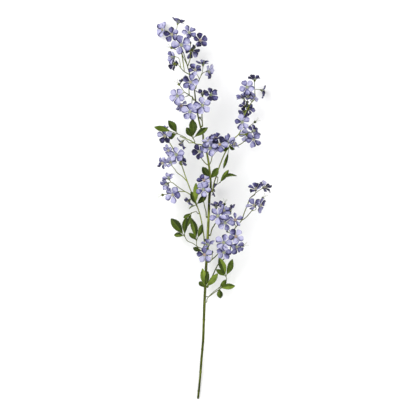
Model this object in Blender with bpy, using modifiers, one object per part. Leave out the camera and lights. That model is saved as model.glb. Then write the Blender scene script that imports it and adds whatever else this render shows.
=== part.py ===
"""Deutzia flower sprig, lying down: cut stem, side twigs, three-leaflet leaves, five-petalled flowers."""

import math
import random
from collections import namedtuple

import bmesh
import bpy
from mathutils import Matrix, Vector

MM = 0.001
SEAT_GAP = 0.3
WELD_DISTANCE = 0.01

# Places are in millimetres: x to the right, y up from the cut end, z up from the surface that it lies on.

# Main stem
STEM_ROUTE = [
    (-4, 0, 2.2), (0, 40, 5.5), (3, 80, 9), (6.4, 120, 12.5), (7.8, 160, 16), (9.2, 200, 20),
    (11.2, 240, 24), (12.2, 265, 26.5), (14, 296, 30), (15.4, 326, 33), (17.2, 364, 36.5),
    (18.6, 404, 40), (21.4, 432, 42.5), (18, 468, 45), (14, 492, 47), (7, 518, 49), (6, 530, 50),
    (1, 546, 51), (-4.4, 570, 51), (-9, 600, 50), (-12, 625, 49.5), (-20, 650, 48), (-26, 670, 47),
]
STEM_RADII = [(0, 2.0), (60, 2.4), (200, 2.7), (300, 2.7), (404, 2.5), (500, 1.9), (600, 1.4), (670, 1.0)]
STEM_SIDES = 6
STEM_KNOTS = (16, 54, 100, 160)
KNOT_GROWTH = 1.16
KNOT_HALF_LENGTH = 3.5
DIRECTION_SPAN = 4

# Twigs and flower stalks. The shares are parts of the length that they divide.
TWIG_SIDES = 4
TWIG_ROOT_RADIUS = 1.3
TWIG_END_RADIUS = 0.95
FORK_END_RADIUS = 0.8
STALK_RADIUS = 0.68
STALK_HANDLE_SHARE = 0.45
STALK_BEND_SHARE = 0.55
ROOT_KNEE = 2.6
CUP_RADIUS = 1.9
CUP_LIP_RADIUS = 1.5
CUP_LENGTH = 4.2
CUP_WIDEST_SHARE = 0.35

# Spent cups and buds
SPENT_STALK_SAG = 1.5
SPENT_CUP_RADIUS = 2.8
SPENT_LIP_RADIUS = 1.6
SPENT_NECK_BEFORE = 3.2
SPENT_WIDEST_BEFORE = 1.0
SPENT_LIP_BEYOND = 1.6
STYLE_TURNS = (0, 120, 240)
STYLE_LENGTH = 9.5
STYLE_RADIUS = 0.38
STYLE_SPREAD = 0.45
STYLE_FOOT_INSIDE = 0.5
BUD_STALK_SHARE = 0.4
BUD_RADIUS = 2.0
BUD_TIP_RADIUS = 0.5
BUD_LENGTH = 6.5
BUD_WIDEST_SHARE = 0.5

# Flowers. The petal's places and half widths are shares of its length; its wander is the most by which one
# petal differs from the next, in degrees or as a share of its length.
PETALS = 5
PETAL_THICKNESS = 0.7
THROAT_RADIUS = 2.3
THROAT_DEPTH = 0.9
PETAL_HALF_WIDTH = 0.345
PETAL_TIP_HALF_WIDTH = 0.19
PETAL_WIDEST_AT = 0.66
PETAL_TIP_AT = 0.98
TIP_CURL = 22
ANGLE_WANDER = 5
LIFT_WANDER = 6
TWIST_WANDER = 0.10
SMALLEST_PETAL = 0.93
LARGEST_PETAL = 1.04

# Leaves
BLADE_THICKNESS = 0.8
BLADE_NECK_AT = 0.14
BLADE_NECK_HALF_WIDTH = 0.6
BLADE_STATIONS = (0.32, 0.72)
BLADE_FULLNESS = (0.86, 0.92)
BLADE_FOLD = 0.22
LEAF_STALK_RADIUS = 0.75
LEAF_JOINT_RADIUS = 1.25

# Each flower: name, centre, tilt from straight up, the way it leans, turn of its first petal, width, lift of
# its petals, tone. Angles are in degrees, and the way is measured from x towards y.
Flower = namedtuple("Flower", "name at tilt toward spin width lift tone")
FLOWERS = [
    # Top spray, at the head of the main stem
    Flower("a", (-74, 742, 10.05), 54, 172, 60, 33, 24, "pale"),
    Flower("b", (-44, 753, 52), 66, 72, 20, 28, 36, "dark"),
    Flower("c", (-56, 729, 62.5), 10, 140, 96, 31, 18, "violet"),
    Flower("d", (-22, 733, 57.5), 30, 50, 40, 31, 20, "violet"),
    Flower("e", (0, 718, 55.8), 22, 20, 98, 30, 20, "dark"),
    Flower("f", (-37, 708, 66), 8, 90, 40, 39, 16, "pale"),
    Flower("g", (-16, 699, 38), 138, 290, 20, 32, 26, "dark"),
    Flower("h", (-53.5, 685, 54.5), 58, 190, 60, 28, 26, "violet"),
    Flower("i", (-51.5, 672, 40), 134, 180, 30, 29, 28, "dark"),
    Flower("j", (6, 670, 60), 66, 90, 30, 27, 36, "dark"),
    Flower("k", (-9, 657, 70), 46, 112, 50, 28, 22, "dark"),
    Flower("l", (16, 656, 50), 55, 0, 72, 31, 24, "pale"),
    # Second spray
    Flower("m", (-19, 634, 74), 6, 120, 73, 34, 16, "violet"),
    Flower("n", (-32, 638.2, 69), 92, 150, 20, 23, 30, "dark"),
    Flower("o", (-44.5, 607, 62), 18, 200, 58, 34, 18, "pale"),
    Flower("p", (-38.2, 589.8, 54.3), 60, 300, 60, 27, 26, "violet"),
    Flower("q", (5, 610, 56.5), 68, 92, 50, 27, 34, "dark"),
    Flower("r", (21, 609, 62), 30, 40, 30, 31, 20, "dark"),
    Flower("s", (5, 588, 78), 6, 270, 104, 35, 14, "pale"),
    Flower("t", (-20, 575, 74), 6, 200, 90, 34, 14, "pale"),
    # Right high branch
    Flower("ca", (109, 640, 48), 106, 88, 20, 26, 30, "dark"),
    Flower("cb", (94, 624, 66), 14, 120, 55, 31, 18, "pale"),
    Flower("cc", (125, 620, 13.7), 84, 340, 45, 28, 30, "dark"),
    Flower("cd", (86, 603, 60), 72, 130, 20, 26, 30, "violet"),
    Flower("ce", (95, 604, 62), 42, 80, 45, 25, 28, "dark"),
    Flower("cf", (105, 603, 58), 60, 40, 60, 24, 28, "violet"),
    Flower("cg", (90, 588, 38), 132, 130, 40, 24, 26, "dark"),
    Flower("ch", (88.4, 576, 36.4), 138, 240, 20, 24, 26, "dark"),
    Flower("ci", (97.2, 581.8, 38.2), 128, 0, 50, 23, 26, "dark"),
    Flower("ba", (84, 555, 66), 8, 270, 28, 32, 16, "pale"),
    Flower("bb", (93, 530, 38), 150, 230, 40, 30, 26, "pale"),
    Flower("bc", (107, 521, 62), 36, 245, 46, 34, 18, "violet"),
    Flower("bk", (106, 537, 59), 52, 30, 20, 28, 26, "dark"),
    # Crown, over the first fork
    Flower("bd", (54, 513, 69), 60, 82, 20, 30, 32, "violet"),
    Flower("be", (66, 510.4, 61.4), 66, 30, 20, 22, 34, "violet"),
    Flower("bf", (39, 510, 80), 14, 90, 66, 33, 18, "violet"),
    Flower("bj", (31, 521, 71), 58, 100, 55, 27, 28, "dark"),
    Flower("bg", (18, 516.5, 74.5), 58, 118, 40, 27, 28, "pale"),
    Flower("bh", (20, 502, 77), 22, 90, 68, 35, 20, "violet"),
    Flower("bi", (0.4, 496, 70.8), 42, 190, 40, 32, 24, "violet"),
    # Left side
    Flower("v", (-70, 528, 45), 14, 200, 90, 31, 16, "violet"),
    Flower("va", (-72, 539.5, 40), 74, 98, 20, 26, 30, "dark"),
    Flower("u", (-36, 516, 48), 78, 222, 30, 28, 22, "dark"),
    Flower("w", (-60.9, 499.6, 58.6), 58, 200, 20, 25, 24, "violet"),
    Flower("x", (-47.6, 490, 64), 8, 60, 92, 31, 18, "pale"),
    Flower("y", (-58, 474, 56), 44, 110, 40, 28, 26, "pale"),
    Flower("y2", (-73, 474, 50), 52, 195, 60, 27, 26, "violet"),
    Flower("z", (-37, 477, 42), 122, 20, 60, 23, 26, "dark"),
    Flower("aa", (-62, 443, 60), 58, 115, 30, 27, 30, "violet"),
    Flower("ab", (-65, 432.5, 53), 60, 212, 20, 27, 26, "violet"),
    Flower("ac", (-54, 410, 51.5), 20, 165, 66, 34, 16, "pale"),
    # Centre
    Flower("da", (8, 438.5, 67.8), 30, 110, 40, 28, 22, "violet"),
    Flower("db", (7, 421, 74), 8, 180, 60, 31, 18, "pale"),
    Flower("dc", (24, 420, 22), 98, 350, 90, 28, 24, "dark"),
    Flower("dd", (-22, 399, 24), 70, 225, 30, 22, 26, "dark"),
    # Right middle and right low
    Flower("ea", (32, 386, 58), 74, 92, 20, 28, 34, "dark"),
    Flower("eb", (35.6, 368.4, 74), 8, 120, 57, 34, 16, "pale"),
    Flower("ec", (47, 378, 64.3), 42, 60, 40, 28, 22, "violet"),
    Flower("ed", (60.2, 379.8, 51.4), 72, 110, 30, 27, 30, "dark"),
    Flower("ee", (50, 355, 71), 10, 300, 79, 33, 16, "pale"),
    Flower("ef", (69.6, 360.4, 63.8), 18, 40, 96, 31, 18, "violet"),
    Flower("eg", (71, 327.4, 69.2), 14, 60, 48, 32, 18, "pale"),
    Flower("eh", (47, 315.4, 74), 6, 120, 72, 34, 16, "pale"),
    Flower("ei", (47, 296.3, 68.8), 18, 270, 16, 31, 18, "violet"),
    Flower("ej", (72, 308, 62), 42, 330, 30, 32, 22, "dark"),
    Flower("fa", (111, 421, 50), 54, 96, 20, 32, 36, "dark"),
    Flower("fb", (127.7, 425, 46), 62, 30, 20, 31, 28, "dark"),
    Flower("fc", (109, 388.5, 50), 58, 125, 50, 34, 26, "pale"),
    Flower("fd", (119.2, 389.5, 45.2), 58, 350, 20, 32, 26, "violet"),
    Flower("ga", (16, 310, 56), 62, 100, 30, 28, 30, "violet"),
    Flower("gb", (9, 291, 50), 8, 240, 96, 32, 16, "pale"),
]
FLOWER = {flower.name: flower for flower in FLOWERS}

# Flowers whose petals run into each other are one piece.
BUNCHES = {
    "flower_top_outer_left": ["a"],
    "flower_top_tip": ["b"],
    "flowers_top_left": ["c", "f"],
    "flowers_top_right": ["d", "e"],
    "flower_top_under": ["g"],
    "flowers_top_low_left": ["h", "i"],
    "flower_upper_tip": ["j"],
    "flower_upper_middle": ["k"],
    "flower_upper_outer_right": ["l"],
    "flowers_second_top": ["m", "n"],
    "flowers_second_left": ["o", "p"],
    "flowers_second_right": ["q", "r"],
    "flowers_second_front": ["s", "t"],
    "flower_right_high_tip": ["ca"],
    "flower_right_high_pale": ["cb"],
    "flower_right_high_outer": ["cc"],
    "flowers_right_high_side": ["cd", "ce", "cf"],
    "flowers_right_high_back": ["cg", "ch", "ci"],
    "flower_right_high_front": ["ba"],
    "flower_right_high_under": ["bb"],
    "flowers_right_high_low": ["bc", "bk"],
    "flowers_crown": ["bd", "be", "bf", "bj", "bg", "bh", "bi"],
    "flowers_left_outer": ["v", "va"],
    "flower_left_edge": ["u"],
    "flowers_left_upper": ["w", "x"],
    "flowers_left_middle": ["y", "y2"],
    "flower_left_back": ["z"],
    "flowers_left_lower": ["aa", "ab", "ac"],
    "flowers_centre": ["da", "db"],
    "flower_centre_back": ["dc"],
    "flower_centre_left": ["dd"],
    "flowers_right_middle": ["ea", "eb", "ec", "ed", "ee", "ef"],
    "flowers_right_low": ["eg", "eh", "ei", "ej"],
    "flowers_far_right_top": ["fa", "fb"],
    "flowers_far_right_low": ["fc", "fd"],
    "flower_low_side": ["ga"],
    "flower_low_front": ["gb"],
}

# Each side twig: the height on the main stem where it is seated, its routes (the first one starts at that
# seat), the stalks (where each starts and the flower that it holds), spent cups (start, cup) and buds (start,
# tip).
Twig = namedtuple("Twig", "seat_y routes stalks spent buds")
MAIN_SPRAY = Twig(
    seat_y=None,
    routes=[
        [(-24.5, 667, 47), (-30, 684, 48), (-33, 694, 49)],
        [(-24.5, 667, 47), (-20, 680, 47), (-19, 690, 48)],
        [(-20, 650, 48), (-31, 656, 46), (-38, 663, 45)],
    ],
    stalks=[
        ((-31, 656, 46), "a"), ((-33, 694, 49), "b"), ((-24.5, 667, 47), "c"), ((-31, 656, 46), "f"),
        ((-19, 690, 48), "d"), ((-19, 690, 48), "e"), ((-20, 680, 47), "g"),
        ((-38, 663, 45), "h"), ((-38, 663, 45), "i"), ((14.3, 302, 30.6), "ga"), ((13.4, 284, 28.6), "gb"),
    ],
    spent=[((-33, 694, 49), (-57, 704, 46))],
    buds=[((-19, 690, 48), (-19, 716, 61))],
)
TWIGS = {
    "twig_upper_right": Twig(
        546,
        [[(4.5, 556, 55), (4, 570, 57), (6, 582, 58), (9, 592, 57), (14, 600, 56)]],
        [((6, 582, 58), "s"), ((9, 592, 57), "q"), ((14, 600, 56), "r")],
        [],
        [((4.5, 556, 55), (-1, 566, 61))],
    ),
    "twig_upper_middle": Twig(
        622,
        [[(-7, 630, 54), (-3, 636, 56), (-1, 641, 57)]],
        [((-1, 641, 57), "j"), ((-1, 641, 57), "k"), ((-1, 641, 57), "l")],
        [],
        [],
    ),
    "twig_upper_left": Twig(
        600,
        [
            [(-15, 605, 53), (-21, 609, 55), (-22, 621, 59)],
            [(-21, 609, 55), (-31, 615, 54)],
        ],
        [
            ((-22, 621, 59), "m"), ((-22, 621, 59), "n"), ((-31, 615, 54), "o"), ((-21, 609, 55), "p"),
            ((-15, 605, 53), "t"),
        ],
        [((-31, 615, 54), (-42, 631, 50))],
        [],
    ),
    "twig_left_high": Twig(
        506,
        [
            [(3, 510, 52), (-6, 511, 54), (-12, 514, 55), (-20, 519, 55), (-30, 523, 54), (-40, 527, 54)],
            [(-12, 514, 55), (-22, 514, 52)],
        ],
        [((-22, 514, 52), "u")],
        [],
        [],
    ),
    "twig_left_long": Twig(
        306,
        [
            [(8, 326, 34), (4, 352, 36), (-1, 374, 38), (-6, 388, 39), (-10, 400, 40), (-19, 420, 42),
             (-25, 436, 44), (-30, 450, 45), (-36, 468, 46), (-43, 484, 44), (-52, 500, 42), (-60, 513, 43)],
            [(-25, 436, 44), (-34, 446, 43), (-45, 454, 42), (-50, 461, 44)],
            [(-10, 400, 40), (-21, 412, 40), (-30, 417, 40), (-44, 426, 41), (-54, 434, 43)],
            [(-30, 417, 40), (-44, 417, 40)],
        ],
        [
            ((-60, 513, 43), "v"), ((-60, 513, 43), "va"), ((-52, 500, 42), "w"), ((-43, 484, 44), "x"),
            ((-36, 468, 46), "z"), ((-50, 461, 44), "y"), ((-50, 461, 44), "y2"), ((-54, 434, 43), "aa"),
            ((-54, 434, 43), "ab"),
            ((-44, 417, 40), "ac"), ((-10, 400, 40), "dd"),
        ],
        [((-44, 417, 40), (-75, 410, 36))],
        [],
    ),
    "twig_right_high": Twig(
        418,
        [
            [(27, 430, 43), (32, 446, 44), (37, 462, 45), (43, 478, 46), (50, 494, 47), (58, 506, 48),
             (65, 520, 48), (77, 531, 48), (83, 545, 47), (86, 562, 46), (92, 577, 46), (97, 586, 46),
             (104, 596, 46), (111, 602, 45)],
            [(58, 506, 48), (70, 507, 49), (82, 512, 50), (93, 521, 51)],
            [(77, 531, 48), (88, 531, 48), (98, 534, 48)],
            [(83, 545, 47), (93, 543, 47)],
            [(104, 596, 46), (104, 607, 44)],
        ],
        [
            ((58, 506, 48), "bd"), ((58, 506, 48), "be"), ((93, 521, 51), "bc"), ((98, 534, 48), "bb"),
            ((83, 545, 47), "ba"), ((92, 577, 46), "ch"), ((92, 577, 46), "cg"), ((97, 586, 46), "ci"),
            ((97, 586, 46), "cd"), ((97, 586, 46), "ce"), ((104, 596, 46), "cf"), ((104, 607, 44), "cb"),
            ((111, 602, 45), "ca"), ((111, 602, 45), "cc"), ((98, 534, 48), "bk"),
        ],
        [((93, 543, 47), (110, 556, 47))],
        [],
    ),
    "twig_right_middle": Twig(
        330,
        [
            [(24, 342, 38), (30, 352, 42), (34, 361, 45)],
            [(34, 361, 45), (43, 367, 44), (52, 369, 43)],
        ],
        [((34, 361, 45), "ea"), ((34, 361, 45), "eb"), ((43, 367, 44), "ec"), ((52, 369, 43), "ed")],
        [((43, 367, 44), (49, 392, 42))],
        [],
    ),
    "twig_right_low": Twig(
        226,
        [
            [(18, 234, 26), (22, 242, 27), (27, 252, 29), (31, 261, 30), (37, 272, 32), (44, 279, 34),
             (52, 285, 36), (59, 292, 38), (62, 312, 38), (63, 332, 37), (72, 346, 36), (83, 359, 35),
             (88, 373, 36), (94, 388, 37), (100, 404, 39)],
            [(83, 359, 35), (93, 366, 34), (103, 378, 35)],
            [(59, 292, 38), (67, 300, 40)],
        ],
        [
            ((100, 404, 39), "fa"), ((100, 404, 39), "fb"), ((103, 378, 35), "fc"), ((103, 378, 35), "fd"),
            ((63, 332, 37), "eg"), ((63, 332, 37), "ee"), ((72, 346, 36), "ef"), ((67, 300, 40), "ej"),
        ],
        [((103, 378, 35), (126, 404, 30)), ((67, 300, 40), (86, 309, 38))],
        [((63, 332, 37), (52, 338, 46))],
    ),
    "twig_low_middle": Twig(
        276,
        [[(24, 281, 32), (32, 288, 37), (37, 294, 42)]],
        [((37, 294, 42), "eh"), ((37, 294, 42), "ei")],
        [],
        [((24, 281, 32), (25, 299, 38))],
    ),
    "twig_centre": Twig(
        366,
        [[(12, 377, 41), (9, 388, 45), (7, 400, 49)]],
        [((7, 400, 49), "da"), ((7, 400, 49), "db"), ((7, 400, 49), "dc")],
        [],
        [],
    ),
    "twig_crown": Twig(
        460,
        [
            [(18, 468, 52), (12, 472, 54), (5, 480, 56), (0, 487, 58)],
            [(18, 468, 52), (22, 477, 55), (24, 486, 58)],
        ],
        [((0, 487, 58), "bi"), ((24, 486, 58), "bh"), ((24, 486, 58), "bf"), ((24, 486, 58), "bg"),
         ((24, 486, 58), "bj")],
        [],
        [],
    ),
}

# Each leaf: what carries it, where on it, the route of its stalk, and its leaflets. A carrier is the main
# stem or a twig; its number is the route that carries the leaf. A leaflet has its tip, width, roll and arch, the
# share of its length that is a narrow neck, and its base, which is the end of the leaf's stalk unless it says
# otherwise.
Leaf = namedtuple("Leaf", "carrier route at stalk leaflets")
Blade = namedtuple("Blade", "tip width roll arch neck base", defaults=(BLADE_NECK_AT, None))
LEAVES = {
    "leaf_left_high": Leaf(
        "twig_left_high", 0, (-12, 514, 55), [(-14, 523, 62)],
        [Blade((-15, 561, 61), 16, 0, 2), Blade((-27, 544, 62), 12, 10, 1), Blade((16, 544, 62), 12, -25, 2)],
    ),
    "leaf_left_outer": Leaf(
        "twig_left_high", 0, (-36, 525.5, 54), [(-45, 532, 59)],
        [Blade((-63, 558, 64), 14, 10, 4), Blade((-63, 526, 36), 13, 15, 1),
         Blade((-91, 545, 72), 11, 0, 3, 0.36)],
    ),
    "leaf_left_centre": Leaf(
        "twig_left_long", 0, (-6, 388, 39), [(-8, 390, 45)],
        [Blade((-18, 417, 57), 12, 20, 1), Blade((-8, 434, 62), 11, 0, 2, 0.2),
         Blade((13, 410, 30), 11, 10, 1), Blade((-22, 382, 46), 8, 70, 1)],
    ),
    "leaf_left_low": Leaf(
        "stem", 0, (14.2, 302, 30.6), [(-2, 305, 29), (-14, 313, 29), (-25, 318, 30), (-31, 328, 32)],
        [Blade((-58, 363, 28), 17, 0, 3), Blade((-52, 330, 22), 10, 15, 1), Blade((-27, 367, 33), 12, 0, 2)],
    ),
    "leaf_left_drooping": Leaf(
        "twig_left_long", 0, (-1, 374, 38), [(-8, 377, 43), (-17, 374, 44)],
        [Blade((-26, 346, 47), 8, 10, 3), Blade((-33, 364, 43), 8, 10, 1)],
    ),
    "leaf_left_inner": Leaf(
        "stem", 0, (14, 294, 29.8), [(3, 298, 34), (-6, 307, 36), (-7, 319, 38)],
        [Blade((-17, 364, 46), 13, 0, 2), Blade((-22, 334, 36), 9, 10, 1),
         Blade((5, 352, 46), 10, 0, 2, 0.24), Blade((-14, 304, 30), 9, 10, 1, 0.1, (3, 298, 34))],
    ),
    "leaf_stem_fork": Leaf(
        "stem", 0, (21, 440, 43), [(20.5, 442, 49)],
        [Blade((5, 466, 44), 13, 10, 2), Blade((36, 464, 56), 13, 0, 1)],
    ),
    "leaf_right_high": Leaf(
        "twig_right_high", 0, (27, 430, 43), [(34, 432, 45), (40, 435, 47)],
        [Blade((57, 460, 54), 9, 0, 1, 0.08), Blade((74, 448, 46), 9, -45, 10, 0.2)],
    ),
    "leaf_right_low_upper": Leaf(
        "stem", 0, (9.4, 206, 20.6),
        [(18, 206, 16), (30, 215, 17), (46, 226, 20), (53, 240, 27), (52, 247, 32)],
        [Blade((32, 261, 39), 10, 10, 1), Blade((38, 285, 46), 14, 0, 3), Blade((65, 282, 42), 12, 0, 3)],
    ),
    "leaf_right_low_lower": Leaf(
        "stem", 0, (9, 196, 19.6), [(15, 203, 25), (25, 214, 28), (38, 224, 29)],
        [Blade((53, 241, 36), 9, 10, 1), Blade((70, 228, 31), 12, 0, 3), Blade((41, 203, 27), 12, 0, 1)],
    ),
    "leaf_stem_whorl": Leaf(
        "stem", 0, (10.2, 221, 22), [(10.5, 224, 29)],
        [Blade((5, 263, 34), 12, 0, 3), Blade((16, 258, 40), 9, 0, 2), Blade((36, 253, 36), 12, 0, 2),
         Blade((-2, 236, 26), 11, 10, 1)],
    ),
}
# Small leaves that grow straight from the first fork of one twig
TWIG_LEAVES = [
    Blade((47, 463, 38), 7, 30, -2, 0.3), Blade((69, 501, 53), 7, 20, 1), Blade((47, 497, 50), 6, 0, 1),
]
TWIG_LEAVES_BASE = (58, 506, 48)

# Linear colours
STEM_GREEN = (0.13, 0.19, 0.045)
LEAF_GREEN = (0.075, 0.15, 0.022)
TONES = {"pale": (0.52, 0.47, 0.83), "violet": (0.28, 0.25, 0.62), "dark": (0.09, 0.075, 0.24)}
STEM_ROUGHNESS = 0.6
LEAF_ROUGHNESS = 0.55
PETAL_ROUGHNESS = 0.7


def clear_scene():
    for item in list(bpy.data.objects):
        bpy.data.objects.remove(item, do_unlink=True)


def new_collection(name):
    made = bpy.data.collections.new(name)
    bpy.context.scene.collection.children.link(made)
    return made


def material(name, colour, roughness):
    made = bpy.data.materials.new(name)
    made.use_nodes = True
    shader = made.node_tree.nodes["Principled BSDF"]
    shader.inputs["Base Color"].default_value = (*colour, 1)
    shader.inputs["Roughness"].default_value = roughness
    return made


def object_of(name, mesh, home):
    made = bpy.data.objects.new(name, mesh)
    home.objects.link(made)
    return made


def unit_towards(tilt, toward):
    """The direction that leans by tilt from straight up, the way of toward."""
    lean = math.radians(tilt)
    way = math.radians(toward)
    return Vector((math.sin(lean) * math.cos(way), math.sin(lean) * math.sin(way), math.cos(lean)))


def value_at(pairs, where):
    """The value between the pairs (place, value), straight from one to the next."""
    for (low, first), (high, second) in zip(pairs, pairs[1:]):
        if where <= high:
            share = max(0, (where - low) / (high - low))
            return first + share * (second - first)
    return pairs[-1][1]


def tube(name, points, radii, sides, home):
    """A closed tube along the points, in millimetres, with a radius at each and four or six sides."""
    curve = bpy.data.curves.new(name, "CURVE")
    curve.dimensions = "3D"
    curve.bevel_depth = MM
    curve.bevel_resolution = (sides - 4) // 2
    curve.use_fill_caps = True
    spline = curve.splines.new("POLY")
    spline.points.add(len(points) - 1)
    for spot, place, radius in zip(spline.points, points, radii):
        spot.co = (*(Vector(place) * MM), 1)
        spot.radius = radius
    source = object_of(name + "_route", curve, home)
    bpy.context.view_layer.update()
    evaluated = source.evaluated_get(bpy.context.evaluated_depsgraph_get())
    mesh = bpy.data.meshes.new_from_object(evaluated)
    bpy.data.objects.remove(source, do_unlink=True)
    weld = bmesh.new()
    weld.from_mesh(mesh)
    bmesh.ops.remove_doubles(weld, verts=weld.verts, dist=WELD_DISTANCE * MM)
    bmesh.ops.recalc_face_normals(weld, faces=weld.faces)
    weld.to_mesh(mesh)
    weld.free()
    return object_of(name, mesh, home)


def stem_radius(y):
    return value_at(STEM_RADII, y)


def stem_point(y):
    """The middle of the main stem at the height y."""
    across = [(place[1], place[0]) for place in STEM_ROUTE]
    raised = [(place[1], place[2]) for place in STEM_ROUTE]
    return Vector((value_at(across, y), y, value_at(raised, y)))


def stem_direction(y):
    return stem_point(y + DIRECTION_SPAN) - stem_point(y - DIRECTION_SPAN)


def seated(axis_point, along, radius, next_point):
    """A root that stands square on a round carrier, a small gap from it: its foot and its knee."""
    way = Vector(next_point) - axis_point
    side = way - way.project(along)
    side.normalize()
    foot = axis_point + side * (radius + SEAT_GAP)
    return [foot, foot + side * ROOT_KNEE]


def flower_stalk(name, start, flower, home):
    """A stalk that swells to the green cup under the flower."""
    facing = unit_towards(flower.tilt, flower.toward)
    centre = Vector(flower.at)
    lip = centre - facing * (PETAL_THICKNESS + SEAT_GAP)
    widest = lip - facing * CUP_LENGTH * CUP_WIDEST_SHARE
    neck = lip - facing * CUP_LENGTH
    begin = Vector(start)
    handle = neck - facing * STALK_HANDLE_SHARE * (neck - begin).length
    before = begin.lerp(handle, STALK_BEND_SHARE)
    after = handle.lerp(neck, STALK_BEND_SHARE)
    bend = before.lerp(after, STALK_BEND_SHARE)
    points = [begin, bend, neck, widest, lip]
    radii = [STALK_RADIUS] * 3 + [CUP_RADIUS, CUP_LIP_RADIUS]
    return tube(name, points, radii, TWIG_SIDES, home)


def spent_cup(name, start, cup, home):
    """A flower that has dropped its petals: stalk, cup and three styles."""
    begin = Vector(start)
    end = Vector(cup)
    way = (end - begin).normalized()
    middle = (begin + end) / 2 - Vector((0, 0, SPENT_STALK_SAG))
    neck = end - way * SPENT_NECK_BEFORE
    widest = end - way * SPENT_WIDEST_BEFORE
    lip = end + way * SPENT_LIP_BEYOND
    points = [begin, middle, neck, widest, lip]
    radii = [STALK_RADIUS] * 3 + [SPENT_CUP_RADIUS, SPENT_LIP_RADIUS]
    parts = [tube(name, points, radii, TWIG_SIDES, home)]
    across = way.orthogonal().normalized()
    for turn in STYLE_TURNS:
        side = Matrix.Rotation(math.radians(turn), 3, way) @ across
        tip = end + (way + side * STYLE_SPREAD) * STYLE_LENGTH
        foot = end + (side - way) * STYLE_FOOT_INSIDE
        parts.append(tube(f"{name}_style_{turn}", [foot, tip], [STYLE_RADIUS] * 2, TWIG_SIDES, home))
    return parts


def bud(name, start, tip, home):
    """A closed bud on its stalk."""
    begin = Vector(start)
    end = Vector(tip)
    way = (end - begin).normalized()
    middle = begin.lerp(end, BUD_STALK_SHARE)
    neck = end - way * BUD_LENGTH
    widest = end - way * BUD_LENGTH * BUD_WIDEST_SHARE
    points = [begin, middle, neck, widest, end]
    radii = [STALK_RADIUS] * 3 + [BUD_RADIUS, BUD_TIP_RADIUS]
    return tube(name, points, radii, TWIG_SIDES, home)


def twig_tube(name, points, first_radius, last_radius, home):
    count = len(points) - 1
    radii = [first_radius + (last_radius - first_radius) * i / count for i in range(count + 1)]
    return tube(name, points, radii, TWIG_SIDES, home)


def united(name, parts, home):
    """One body of all the parts, by one union."""
    base = parts[0]
    base.name = name
    base.data.name = name
    if len(parts) > 1:
        others = bpy.data.collections.new(name + "_others")
        bpy.context.scene.collection.children.link(others)
        for part in parts[1:]:
            home.objects.unlink(part)
            others.objects.link(part)
        join = base.modifiers.new("union", "BOOLEAN")
        join.operation = "UNION"
        join.operand_type = "COLLECTION"
        join.collection = others
        join.solver = "EXACT"
        apply_modifiers(base)
        for part in list(others.objects):
            bpy.data.objects.remove(part, do_unlink=True)
        bpy.data.collections.remove(others)
    tidy = bmesh.new()
    tidy.from_mesh(base.data)
    bmesh.ops.triangulate(tidy, faces=tidy.faces)
    tidy.to_mesh(base.data)
    tidy.free()
    return base


def apply_modifiers(target):
    bpy.context.view_layer.update()
    evaluated = target.evaluated_get(bpy.context.evaluated_depsgraph_get())
    mesh = bpy.data.meshes.new_from_object(evaluated)
    target.modifiers.clear()
    target.data = mesh


def shade_smooth(target, smooth):
    for face in target.data.polygons:
        face.use_smooth = smooth


def spray_parts(name, spray, home):
    """The stalks, spent cups and buds of a twig."""
    parts = []
    for start, flower in spray.stalks:
        parts.append(flower_stalk(f"{name}_stalk_{flower}", start, FLOWER[flower], home))
    for number, (start, cup) in enumerate(spray.spent):
        parts += spent_cup(f"{name}_spent_{number}", start, cup, home)
    for number, (start, tip) in enumerate(spray.buds):
        parts.append(bud(f"{name}_bud_{number}", start, tip, home))
    return parts


def side_routes(name, routes, home):
    parts = []
    for number, route in enumerate(routes):
        parts.append(twig_tube(f"{name}_fork_{number}", route, TWIG_END_RADIUS, FORK_END_RADIUS, home))
    return parts


def main_stem(home, green):
    rings = [(Vector(place), stem_radius(place[1])) for place in STEM_ROUTE]
    for knot in STEM_KNOTS:
        for shift, growth in ((-KNOT_HALF_LENGTH, 1), (0, KNOT_GROWTH), (KNOT_HALF_LENGTH, 1)):
            rings.append((stem_point(knot + shift), stem_radius(knot) * growth))
    rings.sort(key=lambda ring: ring[0].y)
    points = [place for place, _ in rings]
    radii = [radius for _, radius in rings]
    parts = [tube("main_stem", points, radii, STEM_SIDES, home)]
    parts += side_routes("main_stem", MAIN_SPRAY.routes, home)
    parts += spray_parts("main_stem", MAIN_SPRAY, home)
    stem = united("main_stem", parts, home)
    stem.data.materials.append(green)
    shade_smooth(stem, True)


def side_twig(name, twig, home, green):
    root = seated(
        stem_point(twig.seat_y), stem_direction(twig.seat_y), stem_radius(twig.seat_y), twig.routes[0][0])
    points = root + list(twig.routes[0])
    parts = [twig_tube(name, points, TWIG_ROOT_RADIUS, TWIG_END_RADIUS, home)]
    parts += side_routes(name, twig.routes[1:], home)
    parts += spray_parts(name, twig, home)
    if name == "twig_right_high":
        for number, blade in enumerate(TWIG_LEAVES):
            parts.append(leaflet(f"{name}_leaf_{number}", TWIG_LEAVES_BASE, blade, home))
    made = united(name, parts, home)
    made.data.materials.append(green)
    shade_smooth(made, True)


def petal_rows(size, lift):
    """The places along one petal, as distance from the centre, height and half width."""
    rise = math.tan(math.radians(lift))
    outer_rise = math.tan(math.radians(lift - TIP_CURL))
    wide = size * PETAL_WIDEST_AT
    tip = size * PETAL_TIP_AT
    wide_height = THROAT_DEPTH + (wide - THROAT_RADIUS) * rise
    tip_height = wide_height + (tip - wide) * outer_rise
    return (
        (wide, wide_height, size * PETAL_HALF_WIDTH),
        (tip, tip_height, size * PETAL_TIP_HALF_WIDTH),
    )


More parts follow.
